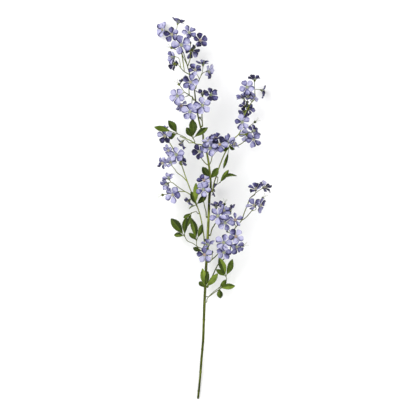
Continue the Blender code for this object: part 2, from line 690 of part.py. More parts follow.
def corolla(name, flower, home):
    """Five petals round a shallow throat, a surface made solid downwards."""
    draw = random.Random("petals " + flower.name)
    surface = bmesh.new()
    centre = surface.verts.new((0, 0, 0))
    share = 2 * math.pi / PETALS
    spin = math.radians(flower.spin)
    throat = []
    for number in range(PETALS):
        angle = spin + (number - 0.5) * share
        throat.append(surface.verts.new((
            THROAT_RADIUS * math.cos(angle), THROAT_RADIUS * math.sin(angle), THROAT_DEPTH)))
    for number in range(PETALS):
        right = throat[number]
        left = throat[(number + 1) % PETALS]
        surface.faces.new((centre, right, left))
        angle = spin + number * share + math.radians(draw.uniform(-ANGLE_WANDER, ANGLE_WANDER))
        size = flower.width / 2 * draw.uniform(SMALLEST_PETAL, LARGEST_PETAL)
        lift = flower.lift + draw.uniform(-LIFT_WANDER, LIFT_WANDER)
        twist = draw.uniform(-TWIST_WANDER, TWIST_WANDER) * size
        out = Vector((math.cos(angle), math.sin(angle), 0))
        across = Vector((-math.sin(angle), math.cos(angle), 0))
        wide, tip = petal_rows(size, lift)
        rise = Vector((0, 0, 1))
        wide_right = surface.verts.new(out * wide[0] - across * wide[2] + rise * (wide[1] - twist / 2))
        wide_left = surface.verts.new(out * wide[0] + across * wide[2] + rise * (wide[1] + twist / 2))
        tip_right = surface.verts.new(out * tip[0] - across * tip[2] + rise * (tip[1] - twist))
        tip_left = surface.verts.new(out * tip[0] + across * tip[2] + rise * (tip[1] + twist))
        for corners in (
            (right, wide_right, wide_left), (right, wide_left, left),
            (wide_right, tip_right, tip_left), (wide_right, tip_left, wide_left),
        ):
            surface.faces.new(corners)
    facing = unit_towards(flower.tilt, flower.toward)
    turn = Vector((0, 0, 1)).rotation_difference(facing).to_matrix().to_4x4()
    surface.transform(Matrix.Scale(MM, 4) @ Matrix.Translation(Vector(flower.at)) @ turn)
    mesh = bpy.data.meshes.new(name)
    surface.to_mesh(mesh)
    surface.free()
    made = object_of(name, mesh, home)
    thicken(made, PETAL_THICKNESS)
    return made


def thicken(target, thickness):
    shell = target.modifiers.new("thickness", "SOLIDIFY")
    shell.thickness = thickness * MM
    shell.offset = -1
    apply_modifiers(target)


def bunch(name, members, home, tones):
    parts = [corolla(f"{name}_{member}", FLOWER[member], home) for member in members]
    made = united(name, parts, home)
    made.data.materials.append(tones[FLOWER[members[0]].tone])
    shade_smooth(made, False)


def leaflet(name, base, blade, home):
    """A folded, arched blade on a narrow neck."""
    start = Vector(base)
    tip = Vector(blade.tip)
    length = (tip - start).length
    along = (tip - start).normalized()
    level = along.cross(Vector((0, 0, 1))).normalized()
    across = Matrix.Rotation(math.radians(blade.roll), 3, along) @ level
    up = across.cross(along).normalized()
    surface = bmesh.new()

    def spine(t):
        return start + along * length * t + up * blade.arch * math.sin(math.pi * t)

    foot = surface.verts.new(spine(0))
    neck_right = surface.verts.new(spine(blade.neck) - across * BLADE_NECK_HALF_WIDTH)
    neck_left = surface.verts.new(spine(blade.neck) + across * BLADE_NECK_HALF_WIDTH)
    rows = []
    for station, fullness in zip(BLADE_STATIONS, BLADE_FULLNESS):
        t = blade.neck + (1 - blade.neck) * station
        half = blade.width / 2 * fullness
        edge_rise = up * half * BLADE_FOLD
        rows.append((
            surface.verts.new(spine(t) - across * half + edge_rise),
            surface.verts.new(spine(t)),
            surface.verts.new(spine(t) + across * half + edge_rise),
        ))
    end = surface.verts.new(spine(1))
    low, high = rows
    for corners in (
        (foot, neck_right, neck_left),
        (neck_right, low[0], low[1]), (neck_right, low[1], neck_left), (neck_left, low[1], low[2]),
        (low[0], high[0], high[1]), (low[0], high[1], low[1]),
        (low[1], high[1], low[2]), (low[2], high[1], high[2]),
        (high[0], end, high[1]), (high[1], end, high[2]),
    ):
        surface.faces.new(corners)
    surface.transform(Matrix.Scale(MM, 4))
    mesh = bpy.data.meshes.new(name)
    surface.to_mesh(mesh)
    surface.free()
    made = object_of(name, mesh, home)
    thicken(made, BLADE_THICKNESS)
    return made


def carrier_of(leaf):
    """The middle, direction and radius of what carries the leaf, where it is seated."""
    at = Vector(leaf.at)
    if leaf.carrier == "stem":
        return stem_point(at.y), stem_direction(at.y), stem_radius(at.y)
    twig = TWIGS[leaf.carrier]
    route = [Vector(place) for place in twig.routes[leaf.route]]
    nearest = min(range(1, len(route) - 1), key=lambda i: (route[i] - at).length)
    return route[nearest], route[nearest + 1] - route[nearest - 1], TWIG_ROOT_RADIUS


def leaf_piece(name, leaf, home, green):
    axis_point, along, radius = carrier_of(leaf)
    root = seated(axis_point, along, radius, leaf.stalk[0])
    joint = Vector(leaf.stalk[-1])
    middle_tip = Vector(leaf.leaflets[0].tip)
    beyond = joint + (middle_tip - joint).normalized() * LEAF_JOINT_RADIUS
    points = root + list(leaf.stalk) + [beyond]
    radii = [LEAF_STALK_RADIUS] * (len(points) - 2) + [LEAF_JOINT_RADIUS, LEAF_STALK_RADIUS]
    parts = [tube(name, points, radii, TWIG_SIDES, home)]
    for number, blade in enumerate(leaf.leaflets):
        parts.append(leaflet(f"{name}_leaflet_{number}", blade.base or joint, blade, home))
    made = united(name, parts, home)
    made.data.materials.append(green)
    shade_smooth(made, False)


def centre_on_box(home):
    """Puts the middle of the box's underside at the origin."""
    spots = [v.co for item in home.objects for v in item.data.vertices]
    low = [min(p[axis] for p in spots) for axis in range(3)]
    high = [max(p[axis] for p in spots) for axis in range(3)]
    shift = Matrix.Translation((-(low[0] + high[0]) / 2, -(low[1] + high[1]) / 2, -low[2]))
    for item in home.objects:
        item.data.transform(shift)


def build():
    clear_scene()
    home = new_collection("deutzia_flower_sprig")
    stem_green = material("stem_green", STEM_GREEN, STEM_ROUGHNESS)
    leaf_green = material("leaf_green", LEAF_GREEN, LEAF_ROUGHNESS)
    tones = {tone: material("petal_" + tone, colour, PETAL_ROUGHNESS) for tone, colour in TONES.items()}
    main_stem(home, stem_green)
    for name, twig in TWIGS.items():
        side_twig(name, twig, home, stem_green)
    for name, leaf in LEAVES.items():
        leaf_piece(name, leaf, home, leaf_green)
    for name, members in BUNCHES.items():
        bunch(name, members, home, tones)
    centre_on_box(home)


build()
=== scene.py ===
"""The looks of a cut deutzia flower sprig that lies on a pale floor and is seen from straight above."""

import math
import random
from collections import namedtuple

import bpy
import numpy as np
from mathutils import Matrix, Vector


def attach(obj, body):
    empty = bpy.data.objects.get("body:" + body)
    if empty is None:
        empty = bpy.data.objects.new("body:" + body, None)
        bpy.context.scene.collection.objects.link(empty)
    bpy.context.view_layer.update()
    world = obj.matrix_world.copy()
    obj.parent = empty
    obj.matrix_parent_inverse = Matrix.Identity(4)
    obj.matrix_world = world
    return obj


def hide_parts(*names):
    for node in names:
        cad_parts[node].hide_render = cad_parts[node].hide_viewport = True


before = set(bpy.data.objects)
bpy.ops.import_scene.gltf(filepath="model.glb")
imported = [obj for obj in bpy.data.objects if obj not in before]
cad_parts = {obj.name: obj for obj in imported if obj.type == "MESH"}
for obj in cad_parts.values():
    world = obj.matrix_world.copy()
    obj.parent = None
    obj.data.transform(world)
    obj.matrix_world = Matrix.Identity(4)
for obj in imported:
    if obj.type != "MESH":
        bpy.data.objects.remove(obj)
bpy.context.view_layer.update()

MM = 0.001
BODY = "root"
# Places below are in the part's own design millimetres: x to the right, y up from the cut end, z up from the
# surface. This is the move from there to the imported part.
DESIGN_TO_PART = (-25.5555, -382.7351, -0.3753)

# Camera: the photograph is 400 pixels square, at 2 mm to a pixel
PHOTO_SPAN = 800
PHOTO_MIDDLE = (0, 400, 36)
CAMERA_DISTANCE = 5000
SENSOR = 36

# Stage, in metres and watts
CAMERA_REACH = 50
FLOOR_HALF = 4.0
FLOOR_DROP = 0.0005
SURROUNDINGS_STRENGTH = 0.98
LIGHT_SIZE = 2.4
LIGHTS = {"key": ((-1.6, 1.2, 2.0), 50), "fill": ((1.6, -0.9, 2.0), 12)}

# Sizes that the part's solids have too
SEAT_GAP = 0.3
SOLID_PETAL = 0.7
THROAT_RADIUS = 2.3
THROAT_DEPTH = 0.9
PETALS = 5
PETAL_WIDEST_AT = 0.66
PETAL_TIP_AT = 0.98
TIP_CURL = 22
ANGLE_WANDER = 5
LIFT_WANDER = 6
TWIST_WANDER = 0.10
SMALLEST_PETAL = 0.93
LARGEST_PETAL = 1.04
STALK_RADIUS = 0.68
STALK_HANDLE_SHARE = 0.45
STALK_BEND_SHARE = 0.55
STALK_SWELLING = (1.1, 0.85, 1)
CUP_LENGTH = 4.2
CUP_PROFILE = ((0.18, 1.0), (0.4, 1.65), (0.65, 1.9), (0.85, 1.8), (1, 1.5))
TWIG_ROOT_RADIUS = 1.3
TWIG_END_RADIUS = 0.95
FORK_END_RADIUS = 0.8
ROOT_KNEE = 2.6
LEAF_STALK_RADIUS = 0.75
LEAF_STALK_TAPER = (1.2, 0.9)
LEAF_JOINT_RADIUS = 1.25
BLADE_FOLD = 0.22
STEM_KNOTS = (16, 54, 100, 160)
DIRECTION_SPAN = 4

# Fineness
PETAL_ROWS = 13
PETAL_COLUMNS = 9
LEAF_ROWS = 33
LEAF_COLUMNS = 9
SEPAL_ROWS = 6
SEPAL_COLUMNS = 5
ROUTE_STEPS = 5
STEM_SIDES = 16
SWELLING_SIDES = 10
TWIG_SIDES = 8
RIB_SIDES = 6
STYLE_SIDES = 5
THREAD_SIDES = 4
PETAL_ACROSS = np.linspace(-1, 1, PETAL_COLUMNS)
LEAF_ACROSS = np.linspace(1, -1, LEAF_COLUMNS)

# Fine petals: the sheet, where it starts, and its outline and bends as shares of the petal's length
PETAL_SHEET = 0.32
PETAL_START = 1.0
PETAL_END_AT = 0.995
PETAL_GROWTH = 1.035
PETAL_HALF_WIDTH = 0.37
PETAL_TAPER = 1.72
PETAL_ROUNDNESS = 0.76
PETAL_SPACING = 1.7
CURL_SOFTNESS = 0.15
GROOVE_DEPTH = 0.035
GROOVE_WIDTH = 0.22
GROOVE_END = 1.2
PINWHEEL = 0.35
TWIST_POWER = 1.2
WAVE_POWER = 1.5
WAVES_ALONG = 1.1
EDGE_WAVES = 1.5
# How one petal differs from the next, from the least to the most
FULLNESS = (0.90, 1.12)
UNEVENNESS = (0.02, 0.10)
LIFT_CHANGE = (-9, 9)
CURL_CHANGE = (0.2, 2.0)
CUPPING = (-0.10, 0.42)
WAVINESS = (0.03, 0.08)
TWIST_CHANGE = (-0.1, 0.1)

# Fine leaflets
LEAF_SHEET = 0.45
BLADE_START_AT = 0.01
BLADE_NECK_AT = 0.14
LEAFLET_SKEW = 1.18
LEAFLET_ROUNDNESS = 0.78
LEAF_NECK_HALF_WIDTH = 0.55
LEAF_NECK_TAPER = 0.8
LEAF_TEETH = 8
TOOTH_DEPTH = 0.07
TOOTHED_FROM = 0.08
TOOTHED_TO = 0.93
FOLD_POWER = 1.25
SIDE_RIBS = 9.5
SIDE_RIB_SLANT = 0.22
QUILTING = 0.02
LEAF_WAVE_TURN = 9
LEAF_WAVE_SHIFT = 1.3
LEAF_BOW = (-0.04, 0.04)
LEAF_WAVINESS = (0.05, 0.11)
LEAF_BRIGHTNESS = (0.15, 0.45)
RIB_PLACES = (0, 3, 8, 14, 22)
RIB_RADII = (0.6, 0.55, 0.42, 0.34, 0.2)
LEAF_JOINT_PROFILE = ((-1.4, 0.7), (-0.6, LEAF_JOINT_RADIUS), (0.5, LEAF_JOINT_RADIUS), (1.2, 0.5))

# Flower centres, in each flower's own frame
CENTRE_PROFILE = ((-1.05, 1.35), (-0.4, 1.75), (0.3, 2.1), (0.9, 2.0), (1.35, 1.45), (1.6, 0.6))
THREAD_BOW = 0.12
THREAD_END_PROFILE = ((-1.1, 0.3), (-0.5, 1), (0.5, 1), (1.1, 0.3))
STAMENS = 9
STAMEN_TURN = (-0.3, 0.3)
STAMEN_FOOT_RADIUS = 1.0
STAMEN_FOOT_HEIGHT = 1.2
STAMEN_SPREAD = (1.9, 3.1)
STAMEN_HEIGHT = (3.0, 4.2)
STAMEN_RADIUS = 0.13
ANTHER_RADIUS = 0.48
PLAIN_ANTHERS = 0.6
STYLES = 3
STYLE_TURN = (-0.2, 0.2)
STYLE_FOOT = (0, 0, 1.3)
STYLE_HEIGHT = 1.2
STYLE_LENGTH_CHANGE = (0.85, 1.1)
STYLE_RADIUS = 0.16
STYLE_END_RADIUS = 0.3
# Length and spread of the styles
USUAL_STYLES = (4.6, 1.0)
LONG_STYLES = (9.0, 3.4)

# Sepals, spent cups and buds. A profile is places along a line, in millimetres or shares of a length, and
# the radii there.
SEPALS = 5
SEPAL_LENGTH = 3.6
SEPAL_HALF_WIDTH = 1.15
SEPAL_TIP_HALF_WIDTH = 0.05
SEPAL_TAPER = 1.6
SEPAL_START = 1.2
SEPAL_DROOP = 0.8
SEPAL_SHEET = 0.3
OPEN_SEPAL_LIFT = 18
SPENT_SEPAL_LIFT = 35
SPENT_SEPALS_AT = 0.4
SPENT_NECK = -3.2
SPENT_SAG = 1.5
SPENT_PROFILE = ((-2.5, 1.8), (-1.2, 2.75), (0.2, 2.6), (1.2, 1.8), (1.7, 0.9))
SPENT_STYLE_LENGTH = 9.5
SPENT_STYLE_SPREAD = 0.45
SPENT_STYLE_BOW = 0.9
SPENT_STYLE_RADII = (0.3, 0.22, 0.16)
SPENT_STIGMA_PROFILE = ((-0.5, 0.2), (0, 0.42), (0.5, 0.2))
BUD_LENGTH = 6.5
BUD_BEND_SHARE = 0.4
BUD_CUP_PROFILE = ((0.15, 1.2), (0.35, 1.85), (0.55, 2.0))
BUD_TIP_PROFILE = ((0.55, 1.94), (0.75, 1.552), (0.9, 0.97), (1, 0.3395))

# Stems: swellings as places from their middle and growth, and small uneven spots
KNOT_PROFILE = ((-3.5, 1), (-1.2, 1.12), (0, 1.2), (1.2, 1.12), (3.5, 1))
ROOT_DEPTH = 0.7
ROOT_SWELLING = ((0, 1.75), (0.45, 1.6), (1, 1.15))
STEM_SWAY = 0.03
STEM_SWAY_TURN = 0.11
STEM_UNEVENNESS = (-0.012, 0.012)

# Kinds of tube, as the stem material reads them: brownness (on the main stem also painted shadow), a number
# of their own, violet
SPRAY_KIND = (0.5, 0.5, 0)
DRY_STYLE_KIND = (0, 0.95, 0)
BUD_TIP_KIND = (0, 0.5, 0.8)
TWIG_LEAF_STALK_KIND = (0.4, 0.5, 1)
TWIG_BROWNNESS = (-0.3, 0.5)
STALK_BROWNNESS = (-0.5, 0.9)
CUP_BROWNNESS = 0.4

# Linear colours
PALE_LILAC = (0.446, 0.436, 0.618)
BLUE_VIOLET = (0.174, 0.17, 0.335)
DEEP_VIOLET = (0.056, 0.05, 0.146)
NAVY = (0.0157, 0.0139, 0.042)
THROAT_GREEN = (0.4, 0.435, 0.383)
LEAF_DARK = (0.0130, 0.025, 0.0017)
LEAF_MIDDLE = (0.052, 0.085, 0.0061)
LEAF_LIGHT = (0.209, 0.287, 0.039)
LEAF_UNDER = (0.096, 0.139, 0.03)
STEM_DARK = (0.0191, 0.026, 0.0026)
STEM_MIDDLE = (0.091, 0.113, 0.0122)
STEM_LIGHT = (0.348, 0.4, 0.078)
CREAM = (0.574, 0.522, 0.383)
PINK = (0.626, 0.383, 0.357)
PALE_GREEN = (0.435, 0.496, 0.322)
OCHRE = (0.539, 0.313, 0.087)
LIVE_GREEN = (0.174, 0.278, 0.044)
ANTHER_YELLOW = (0.696, 0.574, 0.261)
CENTRE_SPECKLE = (0.30, 0.30, 0.16)
FLOOR_COLOUR = (0.94, 0.94, 0.94)
FLOOR_SPECKLE = (0.80, 0.80, 0.82)
SURROUNDINGS_COLOUR = (1, 1, 1)

# Materials: how strongly each mark shows. Shades go from light to dark on petals, and from dark to light on
# the rest.
PETAL_VEINS = 17.0
VEINS_END = 1.1
RIM_SHARPNESS = 3.0
TIP_SHARPNESS = 6.0
BASE_FADE = 2.6
THROAT_FADE = 7.5
PETAL_RAMP = ((0.0, PALE_LILAC), (0.34, BLUE_VIOLET), (0.62, DEEP_VIOLET), (0.88, NAVY))
# On petals, the darker half is painted shade on one side of each petal, the darker base is painted shade
# where the petals part round the throat, and the darker edge is violet edging deepened by painted shade.
PETAL_SHADES = {
    "edge": 0.42, "one_half": 0.8, "base": 0.22, "underside": 0.16, "veins": 0.03, "clouds": 1, "petal": 0.12,
}
LEAF_RIBS = 60.0
RIB_SHARPNESS = 6.0
MIDDLE_RIB_FADE = 9.0
SIDE_RIB_STRENGTH = 0.5
RIB_LIGHTNESS = 0.35
UNDERSIDE_PALENESS = 0.75
LEAF_FINE_RELIEF = 0.3
LEAF_RAMP = ((0.1, LEAF_DARK), (0.45, LEAF_MIDDLE), (0.95, LEAF_LIGHT))
# On leaves, the half term is painted light on one half of a folded leaflet and painted shade on the other.
LEAF_SHADES = {"clouds": 0.8, "half": 0.5, "leaflet": 0.2}
STEM_RAMP = ((0.1, STEM_DARK), (0.45, STEM_MIDDLE), (0.9, STEM_LIGHT))
STEM_SHADES = {"streaks": 1.6, "bands": 0.5, "twig": 0.25, "brown": -0.22}
CENTRE_SPECKLES = 0.35
FLOOR_SPECKLES = 0.06
ROUGHNESS_CHANGE = 0.3

TONE_VALUES = {"pale": 0.05, "violet": 0.24, "dark": 0.56}
TONE_WANDER = (-0.15, 0.17)

# Main stem
STEM_ROUTE = [
    (-4, 0, 2.2), (0, 40, 5.5), (3, 80, 9), (6.4, 120, 12.5), (7.8, 160, 16), (9.2, 200, 20),
    (11.2, 240, 24), (12.2, 265, 26.5), (14, 296, 30), (15.4, 326, 33), (17.2, 364, 36.5),
    (18.6, 404, 40), (21.4, 432, 42.5), (18, 468, 45), (14, 492, 47), (7, 518, 49), (6, 530, 50),
    (1, 546, 51), (-4.4, 570, 51), (-9, 600, 50), (-12, 625, 49.5), (-20, 650, 48), (-26, 670, 47),
]
STEM_RADII = [(0, 2.0), (60, 2.4), (200, 2.7), (300, 2.7), (404, 2.5), (500, 1.9), (600, 1.4), (670, 1.0)]
# How brown and dark the main stem is along its height: brown near the cut end, and painted shadow in the
# darker spans higher up
STEM_BROWN_AND_SHADOW = [
    (0, 1.1), (150, 0.7), (205, 1.0), (240, 1.3), (270, 0.8), (300, -0.6), (372, -0.9), (385, 1.6),
    (430, 1.8), (445, 0.2), (470, -0.6), (500, -0.4), (530, 0.4), (560, 0.2), (600, 1.4), (640, 1.3),
    (700, -0.3),
]

# Each flower: name, centre, tilt from straight up, the way it leans, turn of its first petal, width, lift of
# its petals, tone. Angles are in degrees, and the way is measured from x towards y.
Petal = namedtuple("Petal", "angle size lift twist")
Flower = namedtuple("Flower", "name at tilt toward spin width lift tone")
FLOWERS = [Flower(*row) for row in (
    # Top spray, at the head of the main stem
    ("a", (-74, 742, 10.05), 54, 172, 60, 33, 24, "pale"),
    ("b", (-44, 753, 52), 66, 72, 20, 28, 36, "dark"),
    ("c", (-56, 729, 62.5), 10, 140, 96, 31, 18, "violet"),
    ("d", (-22, 733, 57.5), 30, 50, 40, 31, 20, "violet"),
    ("e", (0, 718, 55.8), 22, 20, 98, 30, 20, "dark"),
    ("f", (-37, 708, 66), 8, 90, 40, 39, 16, "pale"),
    ("g", (-16, 699, 38), 138, 290, 20, 32, 26, "dark"),
    ("h", (-53.5, 685, 54.5), 58, 190, 60, 28, 26, "violet"),
    ("i", (-51.5, 672, 40), 134, 180, 30, 29, 28, "dark"),
    ("j", (6, 670, 60), 66, 90, 30, 27, 36, "dark"),
    ("k", (-9, 657, 70), 46, 112, 50, 28, 22, "dark"),
    ("l", (16, 656, 50), 55, 0, 72, 31, 24, "pale"),
    # Second spray
    ("m", (-19, 634, 74), 6, 120, 73, 34, 16, "violet"),
    ("n", (-32, 638.2, 69), 92, 150, 20, 23, 30, "dark"),
    ("o", (-44.5, 607, 62), 18, 200, 58, 34, 18, "pale"),
    ("p", (-38.2, 589.8, 54.3), 60, 300, 60, 27, 26, "violet"),
    ("q", (5, 610, 56.5), 68, 92, 50, 27, 34, "dark"),
    ("r", (21, 609, 62), 30, 40, 30, 31, 20, "dark"),
    ("s", (5, 588, 78), 6, 270, 104, 35, 14, "pale"),
    ("t", (-20, 575, 74), 6, 200, 90, 34, 14, "pale"),
    # Right high branch
    ("ca", (109, 640, 48), 106, 88, 20, 26, 30, "dark"),
    ("cb", (94, 624, 66), 14, 120, 55, 31, 18, "pale"),
    ("cc", (125, 620, 13.7), 84, 340, 45, 28, 30, "dark"),
    ("cd", (86, 603, 60), 72, 130, 20, 26, 30, "violet"),
    ("ce", (95, 604, 62), 42, 80, 45, 25, 28, "dark"),
    ("cf", (105, 603, 58), 60, 40, 60, 24, 28, "violet"),
    ("cg", (90, 588, 38), 132, 130, 40, 24, 26, "dark"),
    ("ch", (88.4, 576, 36.4), 138, 240, 20, 24, 26, "dark"),
    ("ci", (97.2, 581.8, 38.2), 128, 0, 50, 23, 26, "dark"),
    ("ba", (84, 555, 66), 8, 270, 28, 32, 16, "pale"),
    ("bb", (93, 530, 38), 150, 230, 40, 30, 26, "pale"),
    ("bc", (107, 521, 62), 36, 245, 46, 34, 18, "violet"),
    ("bk", (106, 537, 59), 52, 30, 20, 28, 26, "dark"),
    # Crown, over the first fork
    ("bd", (54, 513, 69), 60, 82, 20, 30, 32, "violet"),
    ("be", (66, 510.4, 61.4), 66, 30, 20, 22, 34, "violet"),
    ("bf", (39, 510, 80), 14, 90, 66, 33, 18, "violet"),
    ("bj", (31, 521, 71), 58, 100, 55, 27, 28, "dark"),
    ("bg", (18, 516.5, 74.5), 58, 118, 40, 27, 28, "pale"),
    ("bh", (20, 502, 77), 22, 90, 68, 35, 20, "violet"),
    ("bi", (0.4, 496, 70.8), 42, 190, 40, 32, 24, "violet"),
    # Left side
    ("v", (-70, 528, 45), 14, 200, 90, 31, 16, "violet"),
    ("va", (-72, 539.5, 40), 74, 98, 20, 26, 30, "dark"),
    ("u", (-36, 516, 48), 78, 222, 30, 28, 22, "dark"),
    ("w", (-60.9, 499.6, 58.6), 58, 200, 20, 25, 24, "violet"),
    ("x", (-47.6, 490, 64), 8, 60, 92, 31, 18, "pale"),
    ("y", (-58, 474, 56), 44, 110, 40, 28, 26, "pale"),
    ("y2", (-73, 474, 50), 52, 195, 60, 27, 26, "violet"),
    ("z", (-37, 477, 42), 122, 20, 60, 23, 26, "dark"),
    ("aa", (-62, 443, 60), 58, 115, 30, 27, 30, "violet"),
    ("ab", (-65, 432.5, 53), 60, 212, 20, 27, 26, "violet"),
    ("ac", (-54, 410, 51.5), 20, 165, 66, 34, 16, "pale"),
    # Centre
    ("da", (8, 438.5, 67.8), 30, 110, 40, 28, 22, "violet"),
    ("db", (7, 421, 74), 8, 180, 60, 31, 18, "pale"),
    ("dc", (24, 420, 22), 98, 350, 90, 28, 24, "dark"),
    ("dd", (-22, 399, 24), 70, 225, 30, 22, 26, "dark"),
    # Right middle and right low
    ("ea", (32, 386, 58), 74, 92, 20, 28, 34, "dark"),
    ("eb", (35.6, 368.4, 74), 8, 120, 57, 34, 16, "pale"),
    ("ec", (47, 378, 64.3), 42, 60, 40, 28, 22, "violet"),
    ("ed", (60.2, 379.8, 51.4), 72, 110, 30, 27, 30, "dark"),
    ("ee", (50, 355, 71), 10, 300, 79, 33, 16, "pale"),
    ("ef", (69.6, 360.4, 63.8), 18, 40, 96, 31, 18, "violet"),
    ("eg", (71, 327.4, 69.2), 14, 60, 48, 32, 18, "pale"),
    ("eh", (47, 315.4, 74), 6, 120, 72, 34, 16, "pale"),
    ("ei", (47, 296.3, 68.8), 18, 270, 16, 31, 18, "violet"),
    ("ej", (72, 308, 62), 42, 330, 30, 32, 22, "dark"),
    ("fa", (111, 421, 50), 54, 96, 20, 32, 36, "dark"),
    ("fb", (127.7, 425, 46), 62, 30, 20, 31, 28, "dark"),
    ("fc", (109, 388.5, 50), 58, 125, 50, 34, 26, "pale"),
    ("fd", (119.2, 389.5, 45.2), 58, 350, 20, 32, 26, "violet"),
    ("ga", (16, 310, 56), 62, 100, 30, 28, 30, "violet"),
    ("gb", (9, 291, 50), 8, 240, 96, 32, 16, "pale"),
)]
FLOWER = {flower.name: flower for flower in FLOWERS}

# Flowers whose petals run into each other are one piece.
BUNCHES = {
    "flower_top_outer_left": "a",
    "flower_top_tip": "b",
    "flowers_top_left": "c f",
    "flowers_top_right": "d e",
    "flower_top_under": "g",
    "flowers_top_low_left": "h i",
    "flower_upper_tip": "j",
    "flower_upper_middle": "k",
    "flower_upper_outer_right": "l",
    "flowers_second_top": "m n",
    "flowers_second_left": "o p",
    "flowers_second_right": "q r",
    "flowers_second_front": "s t",
    "flower_right_high_tip": "ca",
    "flower_right_high_pale": "cb",
    "flower_right_high_outer": "cc",
    "flowers_right_high_side": "cd ce cf",
    "flowers_right_high_back": "cg ch ci",
    "flower_right_high_front": "ba",
    "flower_right_high_under": "bb",
    "flowers_right_high_low": "bc bk",
    "flowers_crown": "bd be bf bj bg bh bi",
    "flowers_left_outer": "v va",
    "flower_left_edge": "u",
    "flowers_left_upper": "w x",
    "flowers_left_middle": "y y2",
    "flower_left_back": "z",
    "flowers_left_lower": "aa ab ac",
    "flowers_centre": "da db",
    "flower_centre_back": "dc",
    "flower_centre_left": "dd",
    "flowers_right_middle": "ea eb ec ed ee ef",
    "flowers_right_low": "eg eh ei ej",
    "flowers_far_right_top": "fa fb",
    "flowers_far_right_low": "fc fd",
    "flower_low_side": "ga",
    "flower_low_front": "gb",
}

# Each side twig: the height on the main stem where it is seated, its routes (the first one starts at that
# seat), the stalks (where they start and the flowers that they hold), spent cups (start, cup) and buds
# (start, tip).
Twig = namedtuple("Twig", "seat_y routes stalks spent buds", defaults=((), ()))
MAIN_SPRAY = Twig(
    None,
    [
        [(-24.5, 667, 47), (-30, 684, 48), (-33, 694, 49)],
        [(-24.5, 667, 47), (-20, 680, 47), (-19, 690, 48)],
        [(-20, 650, 48), (-31, 656, 46), (-38, 663, 45)],
    ],
    [
        ((-31, 656, 46), "a"), ((-33, 694, 49), "b"), ((-24.5, 667, 47), "c"), ((-31, 656, 46), "f"),
        ((-19, 690, 48), "d e"), ((-20, 680, 47), "g"), ((-38, 663, 45), "h i"),
        ((14.3, 302, 30.6), "ga"), ((13.4, 284, 28.6), "gb"),
    ],
    [((-33, 694, 49), (-57, 704, 46))],
    [((-19, 690, 48), (-19, 716, 61))],
)
